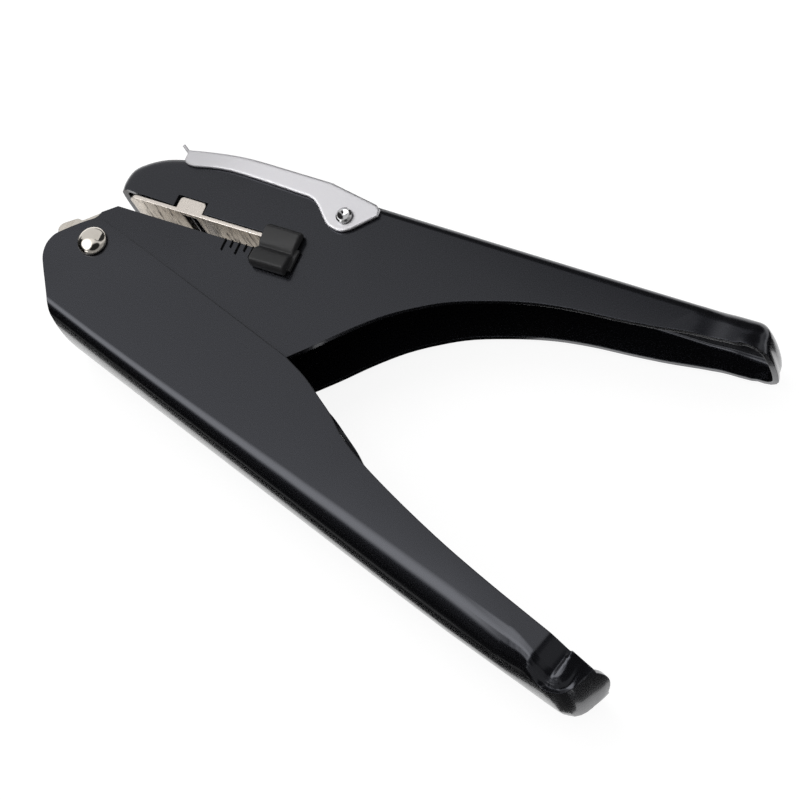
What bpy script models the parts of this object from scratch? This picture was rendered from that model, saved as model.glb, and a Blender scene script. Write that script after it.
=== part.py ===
"""Card slot punch: a plier-shaped hand tool that cuts a 14 x 3 mm slot in an identity card.

The tool lies on its side. X runs along the card slot towards the handle ends, Y from the lower jaw to the
upper jaw, Z along the pivot. The origin is on the pivot axis, on the flat tail of the main rivet.
All lengths are in metres.
"""

import math

import bmesh
import bpy
from mathutils import Matrix, Vector

# Fits
GAP = 0.0003  # running gap between neighbouring pieces
OVERRUN = 0.002  # how far a cutter reaches past what it cuts
MERGE = 0.000002  # vertices closer than this are one

# Frame: upper handle and C-shaped jaw
FRAME_LENGTH = 0.1770  # pivot to the outer face of the end wall
FRAME_WIDTH = 0.0216
FRAME_SHEET = 0.0015
BACK_HEIGHT = 0.0331  # pivot to the outer face of the back
NOSE_RUN = 0.0373  # length over which the nose rises to the back
NOSE_BEND = 0.0023  # outer bend radius at the nose
GRIP_BEND = 0.0028  # outer bend radius at the grip
FRAME_TIP_BEND = 0.0038  # plan radius of the end's corners
FRAME_LIP_BEND = 0.0054
FRAME_HEEL = 0.0040  # side-view radius where the back meets the end wall
FRAME_FLARE_OUT = 0.0012  # how far the lip flares outwards
FRAME_FLARE_DROP = 0.0034  # depth of the flare at the lip
FRAME_LIP = 0.0250  # height of the end wall's lip above the pivot
BACK_CROWN = 0.0004  # how far the back bulges
BACK_FALL = 0.0011  # how far the back falls on its way to the grip
FALL_END = 0.1560  # where the fall ends
TIP_RISE = 0.0005  # how far the back rises again at the end

# Card slot and table
TABLE_HEIGHT = 0.012  # pivot to the top of the card table
CARD_GAP = 0.0035  # table to the underside of the die plate
JAW_RELIEF = 0.0003  # how far the upper jaw's edge stands back from the die plate
TABLE_RELIEF = 0.0001  # how far the lower jaw's edge stands proud of the table
SLOT_DEPTH = 0.0508  # nose to the end of the card slot
CHIN_SETBACK = 0.0006  # how far the lower jaw's tip lies behind the nose
BOSS_RADIUS = 0.0095  # frame metal round the pivot
BELLY_DROP = 0.0145  # pivot to the lowest edge of the frame's sides
BELLY_END = 0.0638  # pivot to where the side's edge turns up to the grip

# Handle ends
TIP_ZONE = 0.020  # length of the shaped end
FRAME_FLARE_RUN = 0.0075  # length of wall over which the flare grows
HANDLE_FLARE_RUN = 0.0142
FRAME_VALLEY = 0.0004  # depth of the soft valley pressed into each side before the end
HANDLE_VALLEY = 0.0012
VALLEY_LENGTH = 0.0095  # length of the drawn-in part
VALLEY_END = 0.0088  # from the end of the drawn-in part to the end wall

# Lower handle
HANDLE_REACH = 0.1794  # pivot to the outer face of its end wall
HANDLE_SHEET = 0.0016
HANDLE_BACK = 0.0214  # pivot to the outer face of the back
HANDLE_DROOP = 17.05  # degrees between its back and the card slot when open
HANDLE_FRONT_BEND = 0.0031
HANDLE_GRIP_BEND = 0.0072
HANDLE_TIP_BEND = 0.0048
HANDLE_LIP_BEND = 0.0064
HANDLE_HEEL = 0.0056
HANDLE_FLARE_OUT = 0.0016
HANDLE_FLARE_DROP = 0.0080
HANDLE_LIP = 0.0091  # pivot level down to the lip of the end wall
HANDLE_LIP_ARCH = 0.0016  # how far the lip rises towards the middle of the end wall
HANDLE_CROWN = 0.0006
WEB_START = 0.0003  # where its back begins, ahead of or behind the pivot
WEB_SLANT = 0.0034  # how far the front of the back slants to the rear
BACK_LIFT = 0.0015  # how far the back rises towards the end
BACK_LIFT_START = 0.125
CHEEK_TOP = 0.0069  # pivot to the upper edge of its cheeks
CHEEK_FRONT = 0.0100  # pivot to the front of its cheeks
SQUEEZE_ANGLE = 17.4  # degrees from open to closed

# Main rivet, bush and spring
RIVET_SHANK = 0.0030  # radius
RIVET_HEAD = 0.0040  # radius
RIVET_DOME = 0.0017
RIVET_RIM = 0.0004
RIVET_TAIL = 0.0015
BUSH_WALL = 0.0012
WIRE = 0.0015
SPRING_TURNS = 6
SPRING_PITCH = 0.0022
SPRING_LEG_END = 0.0110  # pivot to the end of the upper leg, along the table
SPRING_FOOT_END = 0.0125  # pivot to the end of the lower leg, along the handle

# Guide channel
CHANNEL_SHEET = 0.0011
CHANNEL_LENGTH = 0.0490
CHANNEL_FRONT = 0.0136  # how far its cheeks reach ahead of the pivot
CHANNEL_REAR = 0.0300  # rear end of its cheeks

# Die
DIE_SHEET = 0.0010
DIE_LENGTH = 0.0465
DIE_SETBACK = 0.0019  # nose to the plate's front
DIE_TAB_FRONT = 0.0041  # punch to the tab's front
DIE_TAB_REAR = 0.0036  # punch to the tab's rear
DIE_WINDOW_MARGIN = 0.0013  # plate left beside the window for the punch
DIE_TAB_RISE = 0.0042
DIE_TAB_LEAD_GAP = 0.0010  # notch ahead of the tab
DIE_HOLE_MARGIN = 0.0006  # how much the plate's hole is wider than the punch
INSERT_LENGTH = 0.0130
INSERT_WALL = 0.0014  # metal beyond the ends of the insert's slot
INSERT_HEIGHT = 0.0034
DIE_CLEARANCE = 0.0002

# Punch
PUNCH_LENGTH = 0.0140  # across the tool
PUNCH_THICKNESS = 0.0030
PUNCH_RETREAT = 0.0002  # how far its tip lies under the table when open
FOOT_LENGTH = 0.0070
POCKET_DEPTH = 0.0032  # how deep the blade sits in the foot
FOOT_WALL = 0.0008  # foot between the blade and the drive pin
FOOT_PIN = 0.0010  # radius
GUIDE_LENGTH = 0.0120

# Drive bracket and pins
DRIVE_RADIUS = 0.0207  # pivot to the drive pin
DRIVE_REST = 14.0  # degrees that the drive pin lies below the card slot's direction when open
DRIVE_PIN = 0.0020  # radius
DRIVE_BOSS = 0.0032  # radius
BRACKET_SHEET = 0.0016
BRACKET_BASE = 0.0090  # length welded to the handle's back
HOOK_REACH = 0.0345  # pivot to the end of the hook
HOOK_HEIGHT = 0.0024
STOP_PIN = 0.0015  # radius
STOP_PIN_X = 0.0300
STOP_PIN_Y = -0.0100

# Chip cover
COVER_SHEET = 0.0008
COVER_FRONT = 0.0127  # front of its top
COVER_TOP_END = 0.0550  # rear end of its top
COVER_TAB = 0.0024  # length of the finger tab
COVER_HINGE_X = 0.0618
COVER_HINGE_DROP = 0.0064  # back to the hinge
COVER_RIVET = 0.0012  # shank radius
COVER_HEAD = 0.0022  # head radius
COVER_HEAD_RISE = 0.0009
COVER_DIMPLE = 0.0012
COVER_LOBE = 0.0045
WINDOW_START = 0.0090  # chip window in the frame's back
WINDOW_END = 0.0520
WINDOW_WIDTH = 0.0150

# Card stop
STOP_LENGTH = 0.0102
STOP_BOTTOM = 0.0069
STOP_TOP = 0.0189
STOP_THICKNESS = 0.0025
STOP_GRIP_DEPTH = 0.0011  # depth of the thumb groove
STOP_FRONT = 0.0436
STOP_FLANGE = 0.0009  # how far the base flange shows behind the block
STOP_FLANGE_SHEET = 0.0010
STOP_BAR_LENGTH = 0.0048
STOP_BEVEL = 0.0005

# Facets
ARC_STEPS = 5
ROUND_SIDES = 24
TIP_COLUMNS = 8
WALL_ROWS = 5

# Outlines, as shares of the sizes that they follow
nose_shares = [
    (-0.033, 0.0), (-0.043, 0.157), (-0.03, 0.357), (0.018, 0.514), (0.144, 0.71), (0.303, 0.831),
    (0.605, 0.954), (0.809, 0.998), (1.0, 1.0),
]
chin_shares = [
    (-0.309, 0.977), (-0.422, 0.746), (-0.886, 0.373), (-1.013, 0.001), (-0.833, -0.587), (-0.323, -0.94),
    (0.347, -1.022),
]
belly_shares = [
    (0.257, 0.774), (0.509, 0.888), (0.757, 0.942), (0.904, 1.001), (0.971, 0.987), (1.0, 0.921),
]
frame_edge_shares = [
    (0.395, -0.23), (0.432, -0.032), (0.471, 0.148), (0.513, 0.293), (0.557, 0.411), (0.619, 0.521),
    (0.673, 0.592), (0.727, 0.632), (0.784, 0.654), (0.839, 0.681), (0.896, 0.722), (0.938, 0.737), (0.978, 0.748),
]
handle_front_shares = [
    (-0.311, -0.727), (-0.648, -0.601), (-0.901, -0.493), (-1.049, -0.365), (-1.07, -0.245), (-1.006, -0.15),
]
handle_nose_shares = [(-0.708, 0.258), (-0.474, 0.719), (-0.347, 0.879)]
handle_cheek_shares = [(0.002, 0.905), (0.055, 0.92), (0.137, 0.927), (0.272, 0.89), (0.367, 0.859)]
handle_edge_shares = [
    (0.411, 0.22), (0.446, 0.137), (0.48, 0.05), (0.513, -0.066), (0.547, -0.142), (0.59, -0.209),
    (0.66, -0.286), (0.742, -0.352), (0.823, -0.39), (0.894, -0.41), (0.949, -0.422), (0.981, -0.424),
    (0.995, -0.41),
]
cover_foot_shares = [
    (0.0, 0.23), (0.015, 0.48), (0.07, 0.64), (0.17, 0.6), (0.32, 0.61), (0.55, 0.72), (0.8, 0.8),
    (0.92, 0.91),
]
cover_lobe_shares = [(-1.34, -0.28), (-0.92, -0.66), (-0.45, -0.86), (0.16, -0.90), (0.66, -0.62)]

# Worked out from the sizes above
half_width = FRAME_WIDTH / 2
inner_half = half_width - FRAME_SHEET
channel_half = inner_half - GAP
channel_inner = channel_half - CHANNEL_SHEET
handle_half = half_width + GAP + HANDLE_SHEET
rest_height = handle_half + GAP + RIVET_TAIL
upper_edge = TABLE_HEIGHT + CARD_GAP + DIE_SHEET + JAW_RELIEF
lower_edge = TABLE_HEIGHT + TABLE_RELIEF
die_top = TABLE_HEIGHT + CARD_GAP + DIE_SHEET
droop = math.radians(HANDLE_DROOP)
rest_swing = math.radians(DRIVE_REST)
end_swing = math.radians(SQUEEZE_ANGLE - DRIVE_REST)
drive_x = DRIVE_RADIUS * math.cos(rest_swing)
drive_y = -DRIVE_RADIUS * math.sin(rest_swing)
punch_x = (DRIVE_RADIUS + drive_x) / 2
punch_travel = DRIVE_RADIUS * (math.sin(rest_swing) + math.sin(end_swing))
bracket_half = channel_inner - GAP
bracket_inner = bracket_half - BRACKET_SHEET
foot_top = drive_y + DRIVE_PIN + GAP + FOOT_WALL + POCKET_DEPTH
guide_bottom = foot_top + punch_travel + GAP
guide_top = TABLE_HEIGHT - CHANNEL_SHEET - GAP
coil_radius = RIVET_SHANK + GAP + BUSH_WALL + GAP + WIRE / 2
cover_hinge_y = BACK_HEIGHT - COVER_HINGE_DROP
cover_inner = half_width + GAP
cover_half = cover_inner + COVER_SHEET


def clear_scene():
    """Start from an empty scene."""
    for item in list(bpy.data.objects):
        bpy.data.objects.remove(item, do_unlink=True)


def material(name, colour, roughness, metallic):
    """A plain Principled material."""
    made = bpy.data.materials.new(name)
    made.use_nodes = True
    shader = made.node_tree.nodes["Principled BSDF"]
    shader.inputs["Base Color"].default_value = (*colour, 1.0)
    shader.inputs["Roughness"].default_value = roughness
    shader.inputs["Metallic"].default_value = metallic
    made.diffuse_color = (*colour, 1.0)
    return made


def add_object(name, mesh, finish, parent=None, place=(0, 0, 0), turn=0.0, smooth=30.0):
    """Link a mesh as an object, with its finish and its place."""
    item = bpy.data.objects.new(name, mesh)
    bpy.context.scene.collection.objects.link(item)
    item.location = place
    item.rotation_euler = (0, 0, turn)
    item.parent = parent
    if finish is not None:
        mesh.materials.append(finish)
    if smooth:
        mesh.shade_smooth()
        mesh.set_sharp_from_angle(angle=math.radians(smooth))
    return item


def add_empty(name, place, parent=None, turn=0.0):
    """An empty that marks a joint's axis."""
    item = bpy.data.objects.new(name, None)
    bpy.context.scene.collection.objects.link(item)
    item.location = place
    item.rotation_euler = (0, 0, turn)
    item.parent = parent
    return item


def mesh_from(name, work):
    """Write a bmesh to a new mesh, with its faces pointing out."""
    bmesh.ops.recalc_face_normals(work, faces=work.faces)
    mesh = bpy.data.meshes.new(name)
    work.to_mesh(mesh)
    work.free()
    return mesh


def curve_through(points, steps):
    """Catmull-Rom curve through the points, with so many steps in each span."""
    ends = [2 * Vector(points[0]) - Vector(points[1])] + [Vector(p) for p in points]
    ends.append(2 * ends[-1] - ends[-2])
    out = []
    for k in range(1, len(ends) - 2):
        a, b, c, d = ends[k - 1], ends[k], ends[k + 1], ends[k + 2]
        for s in range(steps):
            t = s / steps
            out.append(
                0.5 * (2 * b + (c - a) * t + (2 * a - 5 * b + 4 * c - d) * t**2 + (3 * b - a - 3 * c + d) * t**3)
            )
    out.append(ends[-2])
    return [tuple(p) for p in out]


def arc(centre, radius, start, end, steps):
    """Points on an arc, with angles in degrees."""
    out = []
    for k in range(steps + 1):
        angle = math.radians(start + (end - start) * k / steps)
        out.append((centre[0] + radius * math.cos(angle), centre[1] + radius * math.sin(angle)))
    return out


def stadium(centre, length, width, steps, upright=False):
    """Outline of a slot with round ends."""
    run = (length - width) / 2
    right = arc((run, 0), width / 2, -90, 90, steps)
    left = arc((-run, 0), width / 2, 90, 270, steps)
    points = right + left
    if upright:
        points = [(-y, x) for x, y in points]
    return [(centre[0] + x, centre[1] + y) for x, y in points]


def rounded(points, radius, steps=3):
    """Round every corner of an outline with an arc of about the radius."""
    out = []
    count = len(points)
    for k in range(count):
        before, here, after = Vector(points[k - 1]), Vector(points[k]), Vector(points[(k + 1) % count])
        reach = min(radius, (before - here).length * 0.45, (after - here).length * 0.45)
        a = here + (before - here).normalized() * reach
        b = here + (after - here).normalized() * reach
        for s in range(steps + 1):
            t = s / steps
            out.append(tuple((1 - t) ** 2 * a + 2 * t * (1 - t) * here + t**2 * b))
    return out


def prism_work(outline, low, high, work=None):
    """An outline in XY, extruded from one height to another."""
    work = work or bmesh.new()
    base = [work.verts.new((x, y, low)) for x, y in outline]
    top = [work.verts.new((x, y, high)) for x, y in outline]
    work.faces.new(base)
    work.faces.new(top)
    for k in range(len(outline)):
        n = (k + 1) % len(outline)
        work.faces.new((base[k], base[n], top[n], top[k]))
    return work


def prism(name, outline, low, high):
    """The same as a mesh."""
    return mesh_from(name, prism_work(outline, low, high))


def turned(name, profile, sides=ROUND_SIDES):
    """A profile of radius and height, turned about Z. Its ends lie on the axis."""
    work = bmesh.new()
    rings = []
    for radius, height in profile:
        if radius == 0:
            rings.append([work.verts.new((0, 0, height))])
            continue
        ring = []
        for k in range(sides):
            angle = 2 * math.pi * k / sides
            ring.append(work.verts.new((radius * math.cos(angle), radius * math.sin(angle), height)))
        rings.append(ring)
    for a, b in zip(rings, rings[1:]):
        for k in range(sides):
            n = (k + 1) % sides
            if len(a) == 1:
                work.faces.new((a[0], b[k], b[n]))
            elif len(b) == 1:
                work.faces.new((a[k], a[n], b[0]))
            else:
                work.faces.new((a[k], a[n], b[n], b[k]))
    return mesh_from(name, work)


def tube_mesh(name, bore, outside, low, high, sides=ROUND_SIDES):
    """A plain tube along Z."""
    work = bmesh.new()
    rings = []
    for radius, height in ((bore, low), (outside, low), (outside, high), (bore, high)):
        ring = []
        for k in range(sides):
            angle = 2 * math.pi * k / sides
            ring.append(work.verts.new((radius * math.cos(angle), radius * math.sin(angle), height)))
        rings.append(ring)
    for r in range(4):
        a, b = rings[r], rings[(r + 1) % 4]
        for k in range(sides):
            n = (k + 1) % sides
            work.faces.new((a[k], a[n], b[n], b[k]))
    return mesh_from(name, work)


def cut(target, name, mesh, place=(0, 0, 0), turn=0.0, operation="DIFFERENCE"):
    """Cut a mesh out of the target, or join it, with a Boolean modifier. The cutter shares the target's frame."""
    cutter = add_object(name, mesh, None, target, place, turn, smooth=0)
    cutter.hide_render = True
    cutter.display_type = "WIRE"
    change = target.modifiers.new(name, "BOOLEAN")
    change.operation = operation
    change.solver = "EXACT"
    change.object = cutter
    return cutter


def round_cutter(radius, half_length, sides=ROUND_SIDES):
    """A round cutter along Z."""
    return turned("round_cutter", [(0, -half_length), (radius, -half_length), (radius, half_length), (0, half_length)], sides)


def blend(low, high, share):
    """Smooth step from low to high."""
    t = min(max(share, 0.0), 1.0)
    return low + (high - low) * t * t * (3 - 2 * t)


def coons(top, bottom, left, right):
    """Grid of points between four sides: top and bottom run along, left and right run across."""
    n, m = len(top) - 1, len(left) - 1
    grid = []
    for i in range(n + 1):
        s = i / n
        column = []
        for j in range(m + 1):
            t = j / m
            ruled = (1 - t) * Vector(top[i]) + t * Vector(bottom[i]) + (1 - s) * Vector(left[j]) + s * Vector(right[j])
            corners = (1 - s) * ((1 - t) * Vector(top[0]) + t * Vector(bottom[0]))
            corners += s * ((1 - t) * Vector(top[n]) + t * Vector(bottom[n]))
            column.append(ruled - corners)
        grid.append(column)
    return grid


def pressed_channel(name, spec):
    """Outer skin of a drawn channel: flat sides, bent edges, a back and a closed, flared end.

    The back is a path of stations. Each side lies between the path's bend and the free edge. Up to the split the
    side is one flat face. Past it the side is a grid, so that the end can be shaped.
    """
    path, radii = spec["path"], spec["radii"]
    split, corner = spec["split"], spec["corner"]
    side, half, crown = spec["side"], spec["half"], spec["crown"]
    last = len(path) - 1
    inward = []
    for i in range(last + 1):
        a, b = Vector(path[max(i - 1, 0)]), Vector(path[min(i + 1, last)])
        along = (b - a).normalized()
        inward.append(Vector((-along.y, along.x)) * side)
    lip = Vector(path[last])
    bends = [Vector(path[i]) + inward[i] * radii[i] for i in range(last + 1)]
    bends[0].x -= spec["slant"]
    top = bends[split:corner + 1]
    right = bends[corner:]
    bottom = []
    for i in range(len(top)):
        x = top[0].x + (right[-1].x - top[0].x) * i / (len(top) - 1)
        bottom.append((x, spec["edge"](x) if i < len(top) - 1 else right[-1].y))

    def outward(x, drop, fade):
        """How far the wall stands out at this length and drop below the lip."""
        growth = blend(0.0, 1.0, (x - spec["length"] + spec["flare_run"]) / spec["flare_run"])
        depth = blend(0.0, 1.0, 1 - drop / spec["flare_drop"])
        place = (x - spec["length"] + VALLEY_END + VALLEY_LENGTH) / VALLEY_LENGTH
        valley = math.sin(math.pi * min(max(place, 0.0), 1.0))
        return spec["flare_out"] * growth * depth - spec["valley"] * valley**2 * fade

    verts, faces = [], []

    def put(point):
        verts.append(tuple(point))
        return len(verts) - 1

    rows = []
    for i in range(last + 1):
        base, n, r = Vector(path[i]), inward[i], radii[i]
        drop = abs(bends[i].y - (lip.y if i >= corner else bottom[max(i - split, 0)][1]))
        row = []
        for j in range(ARC_STEPS + 1):
            angle = math.pi / 2 * j / ARC_STEPS
            lean = 1 - math.sin(angle)
            flat = base + n * r * lean
            if i == 0:
                flat.x -= spec["slant"] * lean
            if i < corner:
                out = outward(flat.x, drop, 1.0) * math.cos(angle)
            else:
                out = outward(flat.x, drop, 0.0)
            flat = flat - n * math.sin(angle) * out
            row.append(put((flat.x, flat.y, half - r * (1 - math.cos(angle)) + math.cos(angle) * out)))
        for j in range(1, WALL_ROWS + 1):
            across = 1 - j / WALL_ROWS
            flat = base - n * (crown * (1 - across**2) + (outward(base.x, drop, 0.0) if i >= corner else 0.0))
            if i > corner:
                flat.y += side * spec["lip_arch"] * (1 - across**2) * ((i - corner) / (last - corner)) ** 2
            row.append(put((flat.x, flat.y, (half - r) * across)))
        rows.append(row)
    for i in range(last):
        for j in range(len(rows[i]) - 1):
            faces.append((rows[i][j], rows[i + 1][j], rows[i + 1][j + 1], rows[i][j + 1]))
    low = bottom[0][1]
    left = [top[0].lerp(Vector((top[0].x, low)), j / (len(right) - 1)) for j in range(len(right))]
    grid = coons(top, bottom, left, right)
    index = []
    for i, column in enumerate(grid):
        line = []
        for point in column:
            drop = abs(point.y - bottom[i][1])
            line.append(put((point.x, point.y, half + outward(point.x, drop, 1.0))))
        index.append(line)
    for i in range(len(grid) - 1):
        for j in range(len(right) - 1):
            faces.append((index[i][j], index[i][j + 1], index[i + 1][j + 1], index[i + 1][j]))
    flat_side = [rows[i][0] for i in range(split + 1)] + index[0][1:]
    flat_side += [put((x, y, half)) for x, y in reversed(spec["front_edge"])]
    faces.append(tuple(reversed(flat_side)))
    count = len(verts)
    verts += [(x, y, -z) for x, y, z in verts]
    faces += [tuple(count + k for k in reversed(f)) for f in faces]
    work = bmesh.new()
    made = [work.verts.new(v) for v in verts]
    for f in faces:
        work.faces.new([made[k] for k in f])
    bmesh.ops.remove_doubles(work, verts=work.verts, dist=MERGE)
    flats = [f for f in work.faces if len(f.verts) > 4]
    bmesh.ops.triangulate(work, faces=flats)
    bmesh.ops.recalc_face_normals(work, faces=work.faces)
    highest = max(work.faces, key=lambda f: -side * f.calc_center_median().y - abs(f.calc_center_median().z))
    if highest.normal.y * -side < 0:
        bmesh.ops.reverse_faces(work, faces=work.faces)
    mesh = bpy.data.meshes.new(name)
    work.to_mesh(mesh)
    work.free()
    return mesh


def thicken(item, sheet):
    """Give a skin the thickness of its sheet, inwards."""
    wall = item.modifiers.new("sheet", "SOLIDIFY")
    wall.thickness = sheet
    wall.offset = -1
    wall.use_even_offset = True


def height_on(points):
    """Height of an outline at a length, for an outline whose length only grows."""
    def height(x):
        for a, b in zip(points, points[1:]):
            if a[0] <= x <= b[0]:
                return a[1] + (b[1] - a[1]) * (x - a[0]) / (b[0] - a[0])
        return points[0][1] if x < points[0][0] else points[-1][1]

    return height


def end_stations(start_x, back_y, length, lip_y, side, radius):
    """The last stations of a back: up to the heel, round it and down the end wall to the lip.

    Returns the points and how many of them come before the middle of the heel.
    """
    heel = (length - radius, back_y + side * radius)
    before = [(start_x + (heel[0] - start_x) * k / TIP_COLUMNS, back_y) for k in range(TIP_COLUMNS)]
    turn = arc(heel, radius, -90 * side, 0, 6)
    steps = 4
    wall = [(length, heel[1] + (lip_y - heel[1]) * k / steps) for k in range(1, steps + 1)]
    return before + turn + wall, len(before) + 3


def frame_height(x):
    """Height of the back: it falls a little on its way to the grip and rises again at the end."""
    fall = BACK_FALL * min(max((x - NOSE_RUN) / (FALL_END - NOSE_RUN), 0.0), 1.0)
    rise = TIP_RISE * blend(0.0, 1.0, (x - FALL_END) / (FRAME_LENGTH - FRAME_HEEL - FALL_END))
    return BACK_HEIGHT - fall + rise


def frame_back():
    """The frame's nose, from the card slot to the start of its back."""
    rise = BACK_HEIGHT - upper_edge
    nose = [(x * NOSE_RUN, upper_edge + y * rise) for x, y in nose_shares]
    return curve_through(nose, 3)


def frame_shell(finish, parent):
    """Upper handle and C-shaped jaw, drawn from one sheet."""
    nose = frame_back()
    tip_start = FRAME_LENGTH - TIP_ZONE
    run = 4
    straight = [
        (x, frame_height(x)) for x in (NOSE_RUN + (tip_start - NOSE_RUN) * k / run for k in range(1, run))
    ]
    tail, middle = end_stations(tip_start, frame_height(FRAME_LENGTH), FRAME_LENGTH, FRAME_LIP, -1, FRAME_HEEL)
    tail = [(x, frame_height(x) if k < TIP_COLUMNS else y) for k, (x, y) in enumerate(tail)]
    path = nose + straight + tail
    split = len(nose) + len(straight)
    radii = []
    for x, y in path:
        grip = blend(NOSE_BEND, GRIP_BEND, (x - NOSE_RUN) / (tip_start - NOSE_RUN))
        bend = blend(grip, FRAME_TIP_BEND, (x - tip_start) / (TIP_ZONE - FRAME_HEEL))
        heel_end = frame_height(FRAME_LENGTH) - FRAME_HEEL
        fallen = (heel_end - y) / (heel_end - FRAME_LIP) if x > tip_start else 0
        radii.append(blend(bend, FRAME_LIP_BEND, fallen))
    grip_edge = curve_through(
        [(BELLY_END, -BELLY_DROP * belly_shares[-1][1])]
        + [(x * FRAME_LENGTH, y * BACK_HEIGHT) for x, y in frame_edge_shares]
        + [(FRAME_LENGTH, FRAME_LIP)],
        4,
    )
    edge = height_on(grip_edge)
    slot_end = SLOT_DEPTH - (upper_edge - lower_edge) / 2
    notch_front = punch_x - DIE_TAB_FRONT - DIE_TAB_LEAD_GAP
    notch_rear = punch_x + DIE_TAB_REAR + GAP
    notch_top = TABLE_HEIGHT + CARD_GAP + DIE_TAB_RISE + GAP
    notch = rounded(
        [(notch_front, upper_edge), (notch_front, notch_top), (notch_rear, notch_top), (notch_rear, upper_edge)],
        GAP,
        2,
    )
    mouth = [(notch_front, upper_edge)] + notch[3:-3] + [(notch_rear, upper_edge)]
    slot_round = arc((slot_end, (upper_edge + lower_edge) / 2), (upper_edge - lower_edge) / 2, 90, -90, 8)
    chin = [(CHIN_SETBACK, lower_edge)] + curve_through([(x * BOSS_RADIUS, y * BOSS_RADIUS) for x, y in chin_shares], 3)
    boss_end = chin_shares[-1][0] * BOSS_RADIUS
    belly = curve_through(
        [(boss_end, chin_shares[-1][1] * BOSS_RADIUS)]
        + [(boss_end + x * (BELLY_END - boss_end), -y * BELLY_DROP) for x, y in belly_shares],
        3,
    )
    grip = [p for p in grip_edge if BELLY_END < p[0] < tip_start - MERGE]
    front_edge = mouth + slot_round + chin[:-1] + belly + grip
    skin = pressed_channel("frame_shell", {
        "path": path, "radii": radii, "split": split, "corner": split + middle, "side": -1, "half": half_width,
        "crown": BACK_CROWN, "length": FRAME_LENGTH, "slant": 0.0, "edge": edge, "front_edge": front_edge,
        "flare_drop": FRAME_FLARE_DROP, "flare_out": FRAME_FLARE_OUT, "flare_run": FRAME_FLARE_RUN,
        "valley": FRAME_VALLEY,
        "lip_arch": 0.0,
    })
    shell = add_object("frame_shell", skin, finish, parent)
    thicken(shell, FRAME_SHEET)
    reach = half_width + OVERRUN
    cut(shell, "pivot_hole", round_cutter(RIVET_SHANK + GAP, reach))
    cut(shell, "stop_pin_hole", round_cutter(STOP_PIN + GAP, reach), (STOP_PIN_X, STOP_PIN_Y, 0))
    cut(shell, "cover_hole", round_cutter(COVER_RIVET + GAP, reach), (COVER_HINGE_X, cover_hinge_y, 0))
    window = rounded([
        (WINDOW_START, -WINDOW_WIDTH / 2), (WINDOW_END, -WINDOW_WIDTH / 2),
        (WINDOW_END, WINDOW_WIDTH / 2), (WINDOW_START, WINDOW_WIDTH / 2),
    ], WINDOW_WIDTH / 5)
    opening = prism("window", [(x, y) for x, y in window], 0, BACK_HEIGHT / 2)
    opening.transform(Matrix.Rotation(-math.pi / 2, 4, "X"))
    cut(shell, "chip_window", opening, (0, BACK_HEIGHT - BACK_HEIGHT / 3, 0))
    return shell


def lower_handle(finish, parent):
    """Wider channel that straddles the frame and turns on the main rivet."""
    tip_start = HANDLE_REACH - TIP_ZONE
    lift_run = HANDLE_REACH - HANDLE_HEEL - BACK_LIFT_START

    def back(x):
        rise = max(0.0, (x - BACK_LIFT_START) / lift_run)
        return -HANDLE_BACK + BACK_LIFT * min(rise, 1.0) ** 2

    run = 9
    path = [(WEB_START + WEB_SLANT, back(WEB_START))]
    path += [(WEB_START + (tip_start - WEB_START) * k / run, back(WEB_START + (tip_start - WEB_START) * k / run))
             for k in range(1, run)]
    tail, middle = end_stations(tip_start, -HANDLE_BACK + BACK_LIFT, HANDLE_REACH, -HANDLE_LIP, 1, HANDLE_HEEL)
    tail = [(x, min(y, back(x)) if k < TIP_COLUMNS else y) for k, (x, y) in enumerate(tail)]
    path += tail
    split = run
    radii = []
    for x, y in path:
        grip = blend(HANDLE_FRONT_BEND, HANDLE_GRIP_BEND, x / tip_start)
        bend = blend(grip, HANDLE_TIP_BEND, (x - tip_start) / (TIP_ZONE - HANDLE_HEEL))
        heel_top = HANDLE_HEEL + BACK_LIFT - HANDLE_BACK
        radii.append(blend(bend, HANDLE_LIP_BEND, (y - heel_top) / (-HANDLE_LIP - heel_top)))
    rear_edge = curve_through(
        [(handle_cheek_shares[-1][0] * HANDLE_REACH, handle_cheek_shares[-1][1] * CHEEK_TOP)]
        + [(x * HANDLE_REACH, y * HANDLE_BACK) for x, y in handle_edge_shares]
        + [(HANDLE_REACH, -HANDLE_LIP)],
        4,
    )
    front = curve_through(
        [(x * CHEEK_FRONT, y * HANDLE_BACK) for x, y in handle_front_shares]
        + [(x * CHEEK_FRONT, y * CHEEK_TOP) for x, y in handle_nose_shares],
        3,
    )
    cheek = curve_through([(x * HANDLE_REACH, y * CHEEK_TOP) for x, y in handle_cheek_shares], 2)
    grip = [p for p in rear_edge[1:] if p[0] < tip_start - MERGE]
    skin = pressed_channel("lower_handle", {
        "path": path, "radii": radii, "split": split, "corner": split + middle, "side": 1, "half": handle_half,
        "crown": HANDLE_CROWN, "length": HANDLE_REACH, "slant": WEB_SLANT, "edge": height_on(rear_edge),
        "front_edge": front + cheek + grip, "flare_drop": HANDLE_FLARE_DROP,
        "flare_out": HANDLE_FLARE_OUT, "flare_run": HANDLE_FLARE_RUN, "valley": HANDLE_VALLEY,
        "lip_arch": HANDLE_LIP_ARCH,
    })
    handle = add_object("lower_handle", skin, finish, parent)
    thicken(handle, HANDLE_SHEET)
    cut(handle, "handle_pivot_hole", round_cutter(RIVET_SHANK + GAP, handle_half + OVERRUN))
    return handle


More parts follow.
